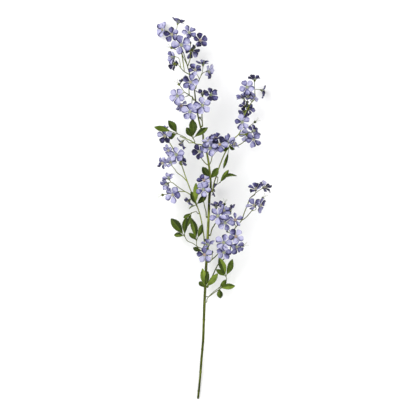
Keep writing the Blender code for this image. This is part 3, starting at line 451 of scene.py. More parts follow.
TWIGS = {
    "twig_upper_right": Twig(
        546,
        [[(4.5, 556, 55), (4, 570, 57), (6, 582, 58), (9, 592, 57), (14, 600, 56)]],
        [((6, 582, 58), "s"), ((9, 592, 57), "q"), ((14, 600, 56), "r")],
        buds=[((4.5, 556, 55), (-1, 566, 61))],
    ),
    "twig_upper_middle": Twig(
        622, [[(-7, 630, 54), (-3, 636, 56), (-1, 641, 57)]], [((-1, 641, 57), "j k l")]),
    "twig_upper_left": Twig(
        600,
        [[(-15, 605, 53), (-21, 609, 55), (-22, 621, 59)], [(-21, 609, 55), (-31, 615, 54)]],
        [((-22, 621, 59), "m n"), ((-31, 615, 54), "o"), ((-21, 609, 55), "p"), ((-15, 605, 53), "t")],
        [((-31, 615, 54), (-42, 631, 50))],
    ),
    "twig_left_high": Twig(
        506,
        [
            [(3, 510, 52), (-6, 511, 54), (-12, 514, 55), (-20, 519, 55), (-30, 523, 54), (-40, 527, 54)],
            [(-12, 514, 55), (-22, 514, 52)],
        ],
        [((-22, 514, 52), "u")],
    ),
    "twig_left_long": Twig(
        306,
        [
            [(8, 326, 34), (4, 352, 36), (-1, 374, 38), (-6, 388, 39), (-10, 400, 40), (-19, 420, 42),
             (-25, 436, 44), (-30, 450, 45), (-36, 468, 46), (-43, 484, 44), (-52, 500, 42), (-60, 513, 43)],
            [(-25, 436, 44), (-34, 446, 43), (-45, 454, 42), (-50, 461, 44)],
            [(-10, 400, 40), (-21, 412, 40), (-30, 417, 40), (-44, 426, 41), (-54, 434, 43)],
            [(-30, 417, 40), (-44, 417, 40)],
        ],
        [
            ((-60, 513, 43), "v va"), ((-52, 500, 42), "w"), ((-43, 484, 44), "x"), ((-36, 468, 46), "z"),
            ((-50, 461, 44), "y y2"), ((-54, 434, 43), "aa ab"), ((-44, 417, 40), "ac"),
            ((-10, 400, 40), "dd"),
        ],
        [((-44, 417, 40), (-75, 410, 36))],
    ),
    "twig_right_high": Twig(
        418,
        [
            [(27, 430, 43), (32, 446, 44), (37, 462, 45), (43, 478, 46), (50, 494, 47), (58, 506, 48),
             (65, 520, 48), (77, 531, 48), (83, 545, 47), (86, 562, 46), (92, 577, 46), (97, 586, 46),
             (104, 596, 46), (111, 602, 45)],
            [(58, 506, 48), (70, 507, 49), (82, 512, 50), (93, 521, 51)],
            [(77, 531, 48), (88, 531, 48), (98, 534, 48)],
            [(83, 545, 47), (93, 543, 47)],
            [(104, 596, 46), (104, 607, 44)],
        ],
        [
            ((58, 506, 48), "bd be"), ((93, 521, 51), "bc"), ((98, 534, 48), "bb"), ((83, 545, 47), "ba"),
            ((92, 577, 46), "ch cg"), ((97, 586, 46), "ci cd ce"), ((104, 596, 46), "cf"),
            ((104, 607, 44), "cb"), ((111, 602, 45), "ca cc"), ((98, 534, 48), "bk"),
        ],
        [((93, 543, 47), (110, 556, 47))],
    ),
    "twig_right_middle": Twig(
        330,
        [[(24, 342, 38), (30, 352, 42), (34, 361, 45)], [(34, 361, 45), (43, 367, 44), (52, 369, 43)]],
        [((34, 361, 45), "ea eb"), ((43, 367, 44), "ec"), ((52, 369, 43), "ed")],
        [((43, 367, 44), (49, 392, 42))],
    ),
    "twig_right_low": Twig(
        226,
        [
            [(18, 234, 26), (22, 242, 27), (27, 252, 29), (31, 261, 30), (37, 272, 32), (44, 279, 34),
             (52, 285, 36), (59, 292, 38), (62, 312, 38), (63, 332, 37), (72, 346, 36), (83, 359, 35),
             (88, 373, 36), (94, 388, 37), (100, 404, 39)],
            [(83, 359, 35), (93, 366, 34), (103, 378, 35)],
            [(59, 292, 38), (67, 300, 40)],
        ],
        [
            ((100, 404, 39), "fa fb"), ((103, 378, 35), "fc fd"), ((63, 332, 37), "eg ee"),
            ((72, 346, 36), "ef"), ((67, 300, 40), "ej"),
        ],
        [((103, 378, 35), (126, 404, 30)), ((67, 300, 40), (86, 309, 38))],
        [((63, 332, 37), (52, 338, 46))],
    ),
    "twig_low_middle": Twig(
        276,
        [[(24, 281, 32), (32, 288, 37), (37, 294, 42)]],
        [((37, 294, 42), "eh ei")],
        buds=[((24, 281, 32), (25, 299, 38))],
    ),
    "twig_centre": Twig(
        366, [[(12, 377, 41), (9, 388, 45), (7, 400, 49)]], [((7, 400, 49), "da db dc")]),
    "twig_crown": Twig(
        460,
        [
            [(18, 468, 52), (12, 472, 54), (5, 480, 56), (0, 487, 58)],
            [(18, 468, 52), (22, 477, 55), (24, 486, 58)],
        ],
        [((0, 487, 58), "bi"), ((24, 486, 58), "bh bf bg bj")],
    ),
}

# Each leaf: what carries it, where on it, the route of its stalk, and its leaflets. A carrier is the main
# stem or the first route of a twig. A leaflet has its tip, width, roll and arch. It may also have the share
# of its length that is a narrow neck, a base that isn't the end of the leaf's stalk, and how light it is.
# That lightness is painted light and shade on the leaflet.
Leaf = namedtuple("Leaf", "carrier at stalk leaflets")
Blade = namedtuple("Blade", "tip width roll arch neck base light", defaults=(BLADE_NECK_AT, None, None))
LEAVES = {
    "leaf_left_high": Leaf("twig_left_high", (-12, 514, 55), [(-14, 523, 62)], [
        Blade((-15, 561, 61), 16, 0, 2, light=0.25),
        Blade((-27, 544, 62), 12, 10, 1, light=0.12),
        Blade((16, 544, 62), 12, -25, 2, light=0.12),
    ]),
    "leaf_left_outer": Leaf("twig_left_high", (-36, 525.5, 54), [(-45, 532, 59)], [
        Blade((-63, 558, 64), 14, 10, 4),
        Blade((-63, 526, 36), 13, 15, 1, light=0.30),
        Blade((-91, 545, 72), 11, 0, 3, 0.36, light=0.50),
    ]),
    "leaf_left_centre": Leaf("twig_left_long", (-6, 388, 39), [(-8, 390, 45)], [
        Blade((-18, 417, 57), 12, 20, 1, light=0.12),
        Blade((-8, 434, 62), 11, 0, 2, 0.2, light=0.85),
        Blade((13, 410, 30), 11, 10, 1, light=0.12),
        Blade((-22, 382, 46), 8, 70, 1),
    ]),
    "leaf_left_low": Leaf(
        "stem", (14.2, 302, 30.6), [(-2, 305, 29), (-14, 313, 29), (-25, 318, 30), (-31, 328, 32)],
        [Blade((-58, 363, 28), 17, 0, 3), Blade((-52, 330, 22), 10, 15, 1), Blade((-27, 367, 33), 12, 0, 2)],
    ),
    "leaf_left_drooping": Leaf(
        "twig_left_long", (-1, 374, 38), [(-8, 377, 43), (-17, 374, 44)],
        [Blade((-26, 346, 47), 8, 10, 3), Blade((-33, 364, 43), 8, 10, 1)],
    ),
    "leaf_left_inner": Leaf("stem", (14, 294, 29.8), [(3, 298, 34), (-6, 307, 36), (-7, 319, 38)], [
        Blade((-17, 364, 46), 13, 0, 2),
        Blade((-22, 334, 36), 9, 10, 1),
        Blade((5, 352, 46), 10, 0, 2, 0.24),
        Blade((-14, 304, 30), 9, 10, 1, 0.1, (3, 298, 34), 0.05),
    ]),
    "leaf_stem_fork": Leaf(
        "stem", (21, 440, 43), [(20.5, 442, 49)],
        [Blade((5, 466, 44), 13, 10, 2, light=0.12), Blade((36, 464, 56), 13, 0, 1)],
    ),
    "leaf_right_high": Leaf(
        "twig_right_high", (27, 430, 43), [(34, 432, 45), (40, 435, 47)],
        [Blade((57, 460, 54), 9, 0, 1, 0.08, light=0.5), Blade((74, 448, 46), 9, -45, 10, 0.2)],
    ),
    "leaf_right_low_upper": Leaf(
        "stem", (9.4, 206, 20.6), [(18, 206, 16), (30, 215, 17), (46, 226, 20), (53, 240, 27), (52, 247, 32)],
        [
            Blade((32, 261, 39), 10, 10, 1, light=0.55),
            Blade((38, 285, 46), 14, 0, 3, light=0.35),
            Blade((65, 282, 42), 12, 0, 3),
        ],
    ),
    "leaf_right_low_lower": Leaf("stem", (9, 196, 19.6), [(15, 203, 25), (25, 214, 28), (38, 224, 29)], [
        Blade((53, 241, 36), 9, 10, 1),
        Blade((70, 228, 31), 12, 0, 3, light=0.5),
        Blade((41, 203, 27), 12, 0, 1, light=0.2),
    ]),
    "leaf_stem_whorl": Leaf("stem", (10.2, 221, 22), [(10.5, 224, 29)], [
        Blade((5, 263, 34), 12, 0, 3, light=0.75),
        Blade((16, 258, 40), 9, 0, 2),
        Blade((36, 253, 36), 12, 0, 2, light=0.7),
        Blade((-2, 236, 26), 11, 10, 1),
    ]),
}
# Small leaves that grow straight from the first fork of one twig
TWIG_LEAVES = [
    Blade((47, 463, 38), 7, 30, -2, 0.3), Blade((69, 501, 53), 7, 20, 1), Blade((47, 497, 50), 6, 0, 1),
]
TWIG_LEAVES_BASE = (58, 506, 48)
TWIG_LEAVES_LIGHT = 0.2

# Painted shade and painted light on single petals that the photograph shows much darker or paler than their
# flower: a place in the plane of the photograph, near the petal, and its tone.
PAINTED_PETAL_LIGHT_AND_SHADE = {
    "a": [(-70, 752, 0.08)],
    "c": [(-60, 739, 0.55), (-66, 727, 0.72)],
    "d": [(-24, 741, 0.30)],
    "e": [(0, 726, 0.70)],
    "f": [(-42, 718, 0.28), (-30, 718, 0.20), (-29, 703, 0.08), (-39, 697, 0.22)],
    "g": [(-8, 692, 0.26), (-20, 687, 0.34)],
    "h": [(-55, 696, 0.05), (-63, 681, 0.08)],
    "k": [(-13, 656, 0.05)],
    "l": [(21, 644, 0.65)],
    "m": [(-28, 637, 0.62)],
    "ba": [(72, 556, 0.50)],
    "bc": [(100, 520, 0.30), (106, 506, 0.20)],
    "bk": [(106, 530, 0.2)],
    "cc": [(130, 621, 0.92)],
    "bf": [(31, 516, 0.85), (44, 525, 0.85), (47, 512, 0.10)],
    "bi": [(-13, 496, 0.88), (-6, 503, 0.75), (-11, 485, 0.85)],
    "v": [(-79, 519, 0.80), (-70, 517, 0.95), (-79, 530, 0.12), (-66, 534, 0.10)],
    "w": [(-66, 504, 0.08)],
    "y2": [(-80, 474, 0.62), (-68, 462, 0.60)],
    "aa": [(-66, 444, 0.70)],
    "ab": [(-68, 428, 0.05), (-60, 440, 0.70)],
    "ac": [(-47, 412, 0.48)],
    "da": [(-4, 440, 0.62), (4, 446, 0.60), (14, 444, 0.10)],
    "ea": [(38, 391, 0.95)],
    "eg": [(65, 341, 0.50), (60, 326, 0.45)],
    "fa": [(112, 420, 0.05)],
    "fb": [(134, 423, 0.85), (128, 434, 0.05)],
    "fc": [(116, 400, 0.50), (100, 382, 0.35)],
    "fd": [(122, 396, 0.40), (128, 392, 0.62)],
    "gb": [(0, 292, 0.60), (6, 300, 0.42)],
}
# Flowers whose petals together are paler or darker than their solids' colour says
FLOWER_TONES = {
    "cb": 0.13, "cg": 0.44, "ch": 0.46, "ci": 0.46, "bb": -0.28, "bc": 0.36, "bk": 0.5, "db": 0.16,
    "eb": 0.16, "ee": 0.20, "ef": 0.16, "ej": 0.34, "fc": 0.12, "fd": 0.28,
}
# Flowers with narrower petals than the rest
NARROW = {"f": 0.94, "eb": 0.9, "ee": 0.92, "ef": 0.68, "fc": 0.92}
LONG_STYLED = ("h", "j", "ca", "va", "x", "fb")
CENTRE_COLOURS = {
    name: colour
    for colour, names in (
        (CREAM, "a c m bc ac"), (PINK, "e da ef eg gb"), (OCHRE, "bf"), (LIVE_GREEN, "j r"),
        (PALE_GREEN, "f o s t cb ba bh bi x eb ee eh"),
    )
    for name in names.split()
}

# The sprays whose flower centres are one piece each
CENTRE_GROUPS = {
    "centres_top": "a b c d e f g h i j k l",
    "centres_second": "m n o p q r s t",
    "centres_right_high": "ca cb cc cd ce cf cg ch ci ba bb bc bk",
    "centres_crown": "bd be bf bj bg bh bi",
    "centres_left": "v va u w x y y2 z aa ab ac",
    "centres_middle": "da db dc dd ga gb",
    "centres_right_middle": "ea eb ec ed ee ef",
    "centres_right_low": "eg eh ei ej",
    "centres_far_right": "fa fb fc fd",
}


class Shape:
    """Points and faces gathered for one mesh. Each point also has its place on its petal, leaf or tube, and a
    kind that the material reads."""

    def __init__(self):
        self.marks = {"position": np.empty((0, 3)), "place": np.empty((0, 3)), "kind": np.empty((0, 3))}
        self.faces = []

    def add(self, points, faces, places, kind):
        count = len(self.marks["position"])
        kinds = np.broadcast_to(kind, (len(points), 3))
        for name, rows in zip(self.marks, (points, places, kinds)):
            self.marks[name] = np.concatenate((self.marks[name], rows))
        self.faces += [tuple(int(corner) + count for corner in face) for face in faces]


def add_sheet(shape, grid, thickness, across, kind):
    """A closed thin sheet round a grid of points whose rows run along it."""
    rows, columns, _ = grid.shape
    normal = np.cross(np.gradient(grid, axis=0), np.gradient(grid, axis=1))
    normal /= np.maximum(np.linalg.norm(normal, axis=2, keepdims=True), 1e-9)
    half = normal * thickness / 2
    count = rows * columns
    index = np.arange(count).reshape(rows, columns)
    faces = []
    for i in range(rows - 1):
        for j in range(columns - 1):
            corners = (index[i, j], index[i + 1, j], index[i + 1, j + 1], index[i, j + 1])
            faces.append(corners)
            faces.append(tuple(corner + count for corner in reversed(corners)))
    rim = list(index[0, :]) + list(index[1:, -1]) + list(index[-1, -2::-1]) + list(index[-2:0:-1, 0])
    for first, second in zip(rim, rim[1:] + rim[:1]):
        faces.append((first, second, second + count, first + count))
    along = np.repeat(np.linspace(0, 1, rows), columns)
    crosswise = np.tile(across, rows)
    sides = [np.column_stack((along, crosswise, np.full(count, side))) for side in (0, 1)]
    points = np.concatenate(((grid + half).reshape(-1, 3), (grid - half).reshape(-1, 3)))
    shape.add(points, faces, np.concatenate(sides), kind)


def add_tube(shape, points, radii, sides, kind):
    """A closed round tube along the points."""
    points = np.asarray(points, float)
    tangents = np.gradient(points, axis=0)
    tangents /= np.linalg.norm(tangents, axis=1, keepdims=True)
    lengths = np.concatenate(([0], np.cumsum(np.linalg.norm(np.diff(points, axis=0), axis=1))))
    side = np.array(Vector(tangents[0]).orthogonal())
    angles = np.arange(sides) * 2 * math.pi / sides
    rings = []
    places = []
    for point, tangent, radius, length in zip(points, tangents, radii, lengths):
        side = side - tangent * side.dot(tangent)
        side /= np.linalg.norm(side)
        up = np.cross(tangent, side)
        rings.append(point + radius * (np.outer(np.cos(angles), side) + np.outer(np.sin(angles), up)))
        places.append(np.column_stack((np.full(sides, length), np.cos(angles), np.sin(angles))))
    faces = []
    for i in range(len(points) - 1):
        for j in range(sides):
            k = (j + 1) % sides
            faces.append((i * sides + j, i * sides + k, (i + 1) * sides + k, (i + 1) * sides + j))
    faces.append(tuple(reversed(range(sides))))
    faces.append(tuple(range((len(points) - 1) * sides, len(points) * sides)))
    shape.add(np.concatenate(rings), faces, np.concatenate(places), kind)


def add_profile(shape, base, way, profile, sides, kind, line=((), ())):
    """A round form whose places are measured from base. A line is a tube that leads up to it."""
    points = list(line[0]) + [base + way * place for place, _ in profile]
    radii = list(line[1]) + [radius for _, radius in profile]
    add_tube(shape, points, radii, sides, kind)


def smooth_route(points, radii):
    """More points and radii on a smooth line through the given ones."""
    rows = np.column_stack((np.asarray(points, float), radii))
    before = 2 * rows[0] - rows[1]
    after = 2 * rows[-1] - rows[-2]
    padded = np.vstack((before, rows, after))
    made = []
    for a, b, c, d in zip(padded, padded[1:], padded[2:], padded[3:]):
        for step in range(ROUTE_STEPS):
            t = step / ROUTE_STEPS
            bent = 2 * b + (c - a) * t + (2 * a - 5 * b + 4 * c - d) * t ** 2
            made.append((bent + (3 * b - a - 3 * c + d) * t ** 3) / 2)
    made.append(rows[-1])
    made = np.array(made)
    return made[:, :3], made[:, 3]


def placed_object(name, data, location=(0, 0, 0)):
    """An object of the scene with the given mesh, light or camera."""
    made = bpy.data.objects.new(name, data)
    made.location = location
    bpy.context.scene.collection.objects.link(made)
    return made


def make_piece(name, shape, material, slot, *replaced):
    """Turns a gathered shape into a piece of the scene."""
    mesh = bpy.data.meshes.new(name)
    points = (shape.marks["position"] + DESIGN_TO_PART) * MM
    mesh.from_pydata(points.tolist(), [], shape.faces)
    for label in ("place", "kind"):
        attribute = mesh.attributes.new(label, "FLOAT_VECTOR", "POINT")
        attribute.data.foreach_set("vector", shape.marks[label].ravel())
    mesh.shade_smooth()
    mesh.materials.append(material)
    piece = placed_object(name, mesh)
    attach(piece, BODY)
    if replaced:
        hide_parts(*replaced)


# Node materials

class Graph:
    """A material's nodes, with short calls for the ones that repeat."""

    def __init__(self, name):
        self.material = bpy.data.materials.new(name)
        self.material.use_nodes = True
        self.nodes = self.material.node_tree.nodes
        self.links = self.material.node_tree.links
        self.shader = self.nodes["Principled BSDF"]

    def put(self, value, socket):
        """Gives a socket a link, a colour (as a tuple) or a number."""
        if isinstance(value, bpy.types.NodeSocket):
            self.links.new(value, socket)
        elif isinstance(value, tuple):
            socket.default_value = (*value, 1)
        else:
            socket.default_value = value

    def node(self, kind, inputs, **settings):
        """A new node's outputs. Its inputs go by their names or numbers."""
        node = self.nodes.new("ShaderNode" + kind)
        for name, value in settings.items():
            setattr(node, name, value)
        for name, value in inputs.items():
            self.put(value, node.inputs[name])
        return node.outputs

    def mark(self, name):
        """A mark that each point has, as a vector or a colour."""
        return self.node("Attribute", {}, attribute_name=name)

    def marks(self, name):
        """The three numbers of a mark."""
        return tuple(self.node("SeparateXYZ", {0: self.mark(name)["Vector"]}))

    def math(self, operation, first, second=0.0, clamp=False):
        return self.node("Math", {0: first, 1: second}, operation=operation, use_clamp=clamp)[0]

    def plus(self, first, second):
        return self.math("ADD", first, second)

    def times(self, first, second):
        return self.math("MULTIPLY", first, second)

    def fading(self, value, steepness):
        """One where the value is zero, and down to zero as it grows."""
        return self.math("SUBTRACT", 1.0, self.times(value, steepness), clamp=True)

    def centred(self, value, amount=1.0):
        """A number from zero to one as one round zero."""
        return self.times(self.math("SUBTRACT", value, 0.5), amount)

    def total(self, start, weights, **values):
        """A number plus each value times the weight of its name, held between zero and one."""
        for name, value in values.items():
            start = self.plus(start, self.times(value, weights[name]))
        start.node.use_clamp = True
        return start

    def mix(self, share, first, second):
        """Two colours mixed, the second one by its share."""
        return self.node("Mix", {0: share, 6: first, 7: second}, data_type="RGBA")[2]

    def ramp(self, value, stops):
        made = self.node("ValToRGB", {0: value})[0]
        elements = made.node.color_ramp.elements
        while len(elements) < len(stops):
            elements.new(0.5)
        for element, (place, colour) in zip(elements, stops):
            element.position = place
            element.color = (*colour, 1)
        return made

    def noise(self, scale, detail=3, places=None):
        """Noise over the object's own places, in metres, unless others are given."""
        places = places or self.node("TexCoord", {})["Object"]
        return self.node("TexNoise", {"Vector": places, "Scale": scale, "Detail": detail})["Fac"]

    def streaks(self, scale, stretch):
        """Noise that runs lengthwise on a tube, over the millimetres along it and the turn round it."""
        mapping = {"Vector": self.mark("place")["Vector"], "Scale": Vector((stretch, 1, 1))}
        return self.noise(scale, 4, self.node("Mapping", mapping)[0])

    def bump(self, height, strength, distance):
        normal = self.node("Bump", {"Height": height, "Strength": strength, "Distance": distance})[0]
        self.put(normal, self.shader.inputs["Normal"])

    def uneven(self, roughness, noise):
        return self.plus(roughness, self.centred(noise, ROUGHNESS_CHANGE))

    def finish(self, colour, roughness, sheen=0.0, gloss=0.12):
        looks = {"Base Color": colour, "Roughness": roughness, "Sheen Weight": sheen}
        looks["Specular IOR Level"] = gloss
        for name, value in looks.items():
            self.put(value, self.shader.inputs[name])
        return self.material


def petal_material():
    """Veined petals with darker rims and tips (violet edging deepened by painted shade), painted shade at
    their base and on one half, and a pale green throat.
    """
    graph = Graph("petal")
    along, across, side = graph.marks("place")
    tone, draw, lean = graph.marks("kind")
    width = graph.math("ABSOLUTE", across)
    veins = graph.math("SINE", graph.times(across, PETAL_VEINS))
    veins = graph.times(veins, graph.math("SUBTRACT", VEINS_END, along))
    rim = graph.math("POWER", width, RIM_SHARPNESS)
    shade = graph.total(
        tone, PETAL_SHADES,
        # Darker rims and tips: violet edging, deepened by painted shade
        edge=graph.math("MAXIMUM", rim, graph.math("POWER", along, TIP_SHARPNESS)),
        # Painted shade on one half of each petal
        one_half=graph.times(graph.times(across, lean), width),
        # Painted shade at the base of each petal
        base=graph.fading(along, BASE_FADE),
        underside=side,
        veins=veins,
        clouds=graph.centred(graph.noise(scale=230, detail=5)),
        petal=graph.centred(draw),
    )
    colour = graph.mix(graph.fading(along, THROAT_FADE), graph.ramp(shade, PETAL_RAMP), THROAT_GREEN)
    relief = graph.plus(veins, graph.noise(scale=900, detail=2))
    graph.bump(relief, strength=0.25, distance=0.0003)
    return graph.finish(colour, graph.uneven(0.55, graph.noise(scale=300)), sheen=0.05)


def leaf_material():
    """Ribbed leaves with a paler underside, painted light on one half of each leaflet and painted shade on
    the other.
    """
    graph = Graph("leaf")
    along, across, side = graph.marks("place")
    light, draw, stalk = graph.marks("kind")
    width = graph.math("ABSOLUTE", across)
    slant = graph.math("SUBTRACT", along, graph.times(width, SIDE_RIB_SLANT))
    ribs = graph.math("SINE", graph.times(slant, LEAF_RIBS))
    ribs = graph.math("POWER", graph.times(graph.plus(ribs, 1.0), 0.5), RIB_SHARPNESS)
    side_ribs = graph.times(ribs, SIDE_RIB_STRENGTH)
    ribs = graph.math("MAXIMUM", graph.fading(width, MIDDLE_RIB_FADE), side_ribs)
    # The leaflet's lightness carries its painted light and shade
    shade = graph.total(
        light, LEAF_SHADES,
        clouds=graph.centred(graph.noise(scale=120, detail=4)),
        # Painted light on one half of the leaflet and painted shade on the other
        half=graph.times(graph.math("SIGN", across), graph.centred(draw)),
        leaflet=graph.centred(draw),
    )
    colour = graph.ramp(shade, LEAF_RAMP)
    colour = graph.mix(graph.times(ribs, RIB_LIGHTNESS), colour, LEAF_LIGHT)
    colour = graph.mix(graph.times(side, UNDERSIDE_PALENESS), colour, LEAF_UNDER)
    colour = graph.mix(stalk, colour, STEM_MIDDLE)
    relief = graph.math("SUBTRACT", graph.times(graph.noise(scale=700), LEAF_FINE_RELIEF), ribs)
    graph.bump(relief, strength=0.35, distance=0.0006)
    return graph.finish(colour, graph.uneven(0.42, graph.noise(scale=260)))


def stem_material():
    """Stems with lengthwise streaks and wider bands, browner or violet where their kind says so; on the main
    stem the brownness also carries painted shadow.
    """
    graph = Graph("stem")
    brown, draw, violet = graph.marks("kind")
    streaks = graph.streaks(scale=1.9, stretch=0.035)
    bands = graph.noise(scale=60)
    # Brownness darkens the stem; on the main stem it includes painted shadow
    shade = graph.total(
        0.5, STEM_SHADES,
        streaks=graph.centred(streaks), bands=graph.centred(bands), twig=graph.centred(draw), brown=brown)
    colour = graph.mix(violet, graph.ramp(shade, STEM_RAMP), DEEP_VIOLET)
    graph.bump(streaks, strength=0.4, distance=0.0005)
    return graph.finish(colour, graph.uneven(0.5, bands))


def centre_material():
    """Finely speckled flower centres, each thread in its own colour."""
    graph = Graph("flower_centre")
    speckle = graph.noise(scale=1400, detail=2)
    share = graph.times(speckle, CENTRE_SPECKLES)
    colour = graph.mix(share, graph.mark("kind")["Color"], CENTRE_SPECKLE)
    graph.bump(speckle, strength=0.3, distance=0.0002)
    return graph.finish(colour, roughness=0.6)


def floor_material():
    graph = Graph("floor")
    share = graph.times(graph.noise(scale=3, detail=2), FLOOR_SPECKLES)
    colour = graph.mix(share, FLOOR_COLOUR, FLOOR_SPECKLE)
    return graph.finish(colour, roughness=0.9, gloss=0)


# Flowers

def around(spread, angle, height):
    """A place round the middle of a flower."""
    return spread * math.cos(angle), spread * math.sin(angle), height


def unit_towards(tilt, toward):
    """The direction that leans by tilt from straight up, the way of toward."""
    lean = math.radians(tilt)
    return Vector(around(math.sin(lean), math.radians(toward), math.cos(lean)))


def placed(flower, points):
    """Points in the flower's own frame, at its place."""
    turn = Vector((0, 0, 1)).rotation_difference(unit_towards(flower.tilt, flower.toward)).to_matrix()
    return points @ np.array(turn).T + np.array(flower.at)


def petals_of(flower):
    """The petals as the solids have them, from the same draws."""
    draw = random.Random("petals " + flower.name)
    made = []
    for number in range(PETALS):
        turn = math.radians(flower.spin + number * 360 / PETALS + draw.uniform(-ANGLE_WANDER, ANGLE_WANDER))
        size = flower.width / 2 * draw.uniform(SMALLEST_PETAL, LARGEST_PETAL)
        lift = flower.lift + draw.uniform(-LIFT_WANDER, LIFT_WANDER)
        made.append(Petal(turn, size, lift, draw.uniform(-TWIST_WANDER, TWIST_WANDER) * size))
    return made


def petal_outline(petal, share, slimness, looks):
    """Half the petal's width along it, and how far its points lie beside its middle."""
    outline = np.sin(math.pi * share ** PETAL_TAPER) ** PETAL_ROUNDNESS
    half = petal.size * PETAL_GROWTH * PETAL_HALF_WIDTH * outline * looks.uniform(*FULLNESS) * slimness
    uneven = looks.uniform(*UNEVENNESS)
    phase = looks.uniform(0, 2 * math.pi)
    edge = np.sin(2 * math.pi * EDGE_WAVES * share + phase * PETAL_ACROSS)
    return half, half * PETAL_ACROSS * (1 + uneven * edge)


def petal_rise(petal, radius, looks):
    """The height of the petal's middle: it rises from the throat and curls towards its tip."""
    lift = petal.lift + looks.uniform(*LIFT_CHANGE)
    rise = math.tan(math.radians(lift))
    outer_rise = math.tan(math.radians(lift - TIP_CURL * looks.uniform(*CURL_CHANGE)))
    past = radius - petal.size * PETAL_WIDEST_AT
    bent = (past + np.sqrt(past ** 2 + (petal.size * CURL_SOFTNESS) ** 2)) / 2
    return THROAT_DEPTH + (radius - THROAT_RADIUS) * rise - bent * (rise - outer_rise)


def petal_relief(petal, radius, half, looks):
    """What lifts the petal's points over its middle: its twist, cupping, waves and groove."""
    reach = np.clip((radius - THROAT_RADIUS) / (petal.size * PETAL_TIP_AT - THROAT_RADIUS), 0, 1)
    cup = looks.uniform(*CUPPING)
    wave = looks.uniform(*WAVINESS) * petal.size
    turn = looks.uniform(0, 2 * math.pi)
    twist = petal.twist + looks.uniform(*TWIST_CHANGE) * petal.size
    twisted = PETAL_ACROSS * (twist * reach ** TWIST_POWER + PINWHEEL * (1 - reach))
    cupped = cup * half * PETAL_ACROSS ** 2
    waves = np.sin(2 * math.pi * WAVES_ALONG * reach + turn + np.sign(PETAL_ACROSS))
    waved = wave * reach * np.abs(PETAL_ACROSS) ** WAVE_POWER * waves
    groove = GROOVE_DEPTH * petal.size * np.exp(-(PETAL_ACROSS / GROOVE_WIDTH) ** 2)
    return twisted + cupped + waved - groove * reach * (GROOVE_END - reach)


def petal_grid(petal, slimness, looks):
    """The middle of a petal's sheet, in its flower's frame."""
    spacing = np.linspace(0, 1, PETAL_ROWS)[:, None]
    start = PETAL_START / petal.size
    share = start + (PETAL_END_AT - start) * (1 - (1 - spacing) ** PETAL_SPACING)
    radius = share * petal.size * PETAL_GROWTH
    half, beside = petal_outline(petal, share, slimness, looks)
    height = petal_rise(petal, radius, looks) + petal_relief(petal, radius, half, looks)
    cosine = math.cos(petal.angle)
    sine = math.sin(petal.angle)
    return np.dstack((radius * cosine - beside * sine, radius * sine + beside * cosine, height))


def add_flower(shape, flower):
    """The five petals of one flower, each with its own tone."""
    looks = random.Random("looks " + flower.name)
    slimness = NARROW.get(flower.name, 1)
    grids = [placed(flower, petal_grid(petal, slimness, looks)) for petal in petals_of(flower)]
    middles = [grid[PETAL_ROWS // 2, PETAL_COLUMNS // 2][:2] for grid in grids]
    usual = FLOWER_TONES.get(flower.name, TONE_VALUES[flower.tone])
    tones = [usual + looks.uniform(*TONE_WANDER) for _ in grids]
    # Painted shade and painted light on single petals
    for x, y, tone in PAINTED_PETAL_LIGHT_AND_SHADE.get(flower.name, ()):
        nearest = min(range(PETALS), key=lambda i: math.dist(middles[i], (x, y)))
        tones[nearest] = tone
    for grid, tone in zip(grids, tones):
        add_sheet(shape, grid, PETAL_SHEET, PETAL_ACROSS, (tone, looks.random(), looks.uniform(-1, 1)))


def add_thread(shape, flower, foot, tip, radii, colours):
    """A thin thread with a thicker end, such as a stamen or style, in the flower's frame."""
    foot = np.array(foot)
    tip = np.array(tip)
    middle = (foot + tip) / 2 + np.array((0, 0, THREAD_BOW * np.linalg.norm(tip - foot)))
    add_tube(shape, placed(flower, np.array((foot, middle, tip))), [radii[0]] * 3, THREAD_SIDES, colours[0])
    way = (tip - middle) / np.linalg.norm(tip - middle)
    end = np.array([tip + way * radii[1] * place for place, _ in THREAD_END_PROFILE])
    end_radii = [radii[1] * share for _, share in THREAD_END_PROFILE]
    add_tube(shape, placed(flower, end), end_radii, STYLE_SIDES, colours[1])


def add_centre(shape, flower):
    """The receptacle, the stamens and the styles of one flower."""
    looks = random.Random("centre " + flower.name)
    colour = CENTRE_COLOURS.get(flower.name) or looks.choice((CREAM, PALE_GREEN, PALE_GREEN, PINK))
    axis = placed(flower, np.array([(0, 0, height) for height, _ in CENTRE_PROFILE]))
    add_tube(shape, axis, [radius for _, radius in CENTRE_PROFILE], SWELLING_SIDES, colour)
    for number in range(STAMENS):
        angle = 2 * math.pi * (number + looks.uniform(*STAMEN_TURN)) / STAMENS
        tip = around(looks.uniform(*STAMEN_SPREAD), angle, looks.uniform(*STAMEN_HEIGHT))
        foot = around(STAMEN_FOOT_RADIUS, angle, STAMEN_FOOT_HEIGHT)
        anther = colour if looks.random() < PLAIN_ANTHERS else ANTHER_YELLOW
        add_thread(shape, flower, foot, tip, (STAMEN_RADIUS, ANTHER_RADIUS), (colour, anther))
    length, spread = LONG_STYLES if flower.name in LONG_STYLED else USUAL_STYLES
    for number in range(STYLES):
        angle = 2 * math.pi * (number + looks.uniform(*STYLE_TURN)) / STYLES
        tip = around(spread, angle, STYLE_HEIGHT + length * looks.uniform(*STYLE_LENGTH_CHANGE))
        add_thread(shape, flower, STYLE_FOOT, tip, (STYLE_RADIUS, STYLE_END_RADIUS), (PALE_GREEN, CREAM))


# Stems and twigs

def value_at(pairs, where):
    places, values = zip(*pairs)
    return float(np.interp(where, places, values))


def stem_point(y):
    """The middle of the main stem at the height y."""
    across, up, raised = zip(*STEM_ROUTE)
    return Vector((np.interp(y, up, across), y, np.interp(y, up, raised)))


def stem_part(y):
    """The middle, direction and radius of the main stem at the height y."""
    direction = stem_point(y + DIRECTION_SPAN) - stem_point(y - DIRECTION_SPAN)
    return stem_point(y), direction, value_at(STEM_RADII, y)


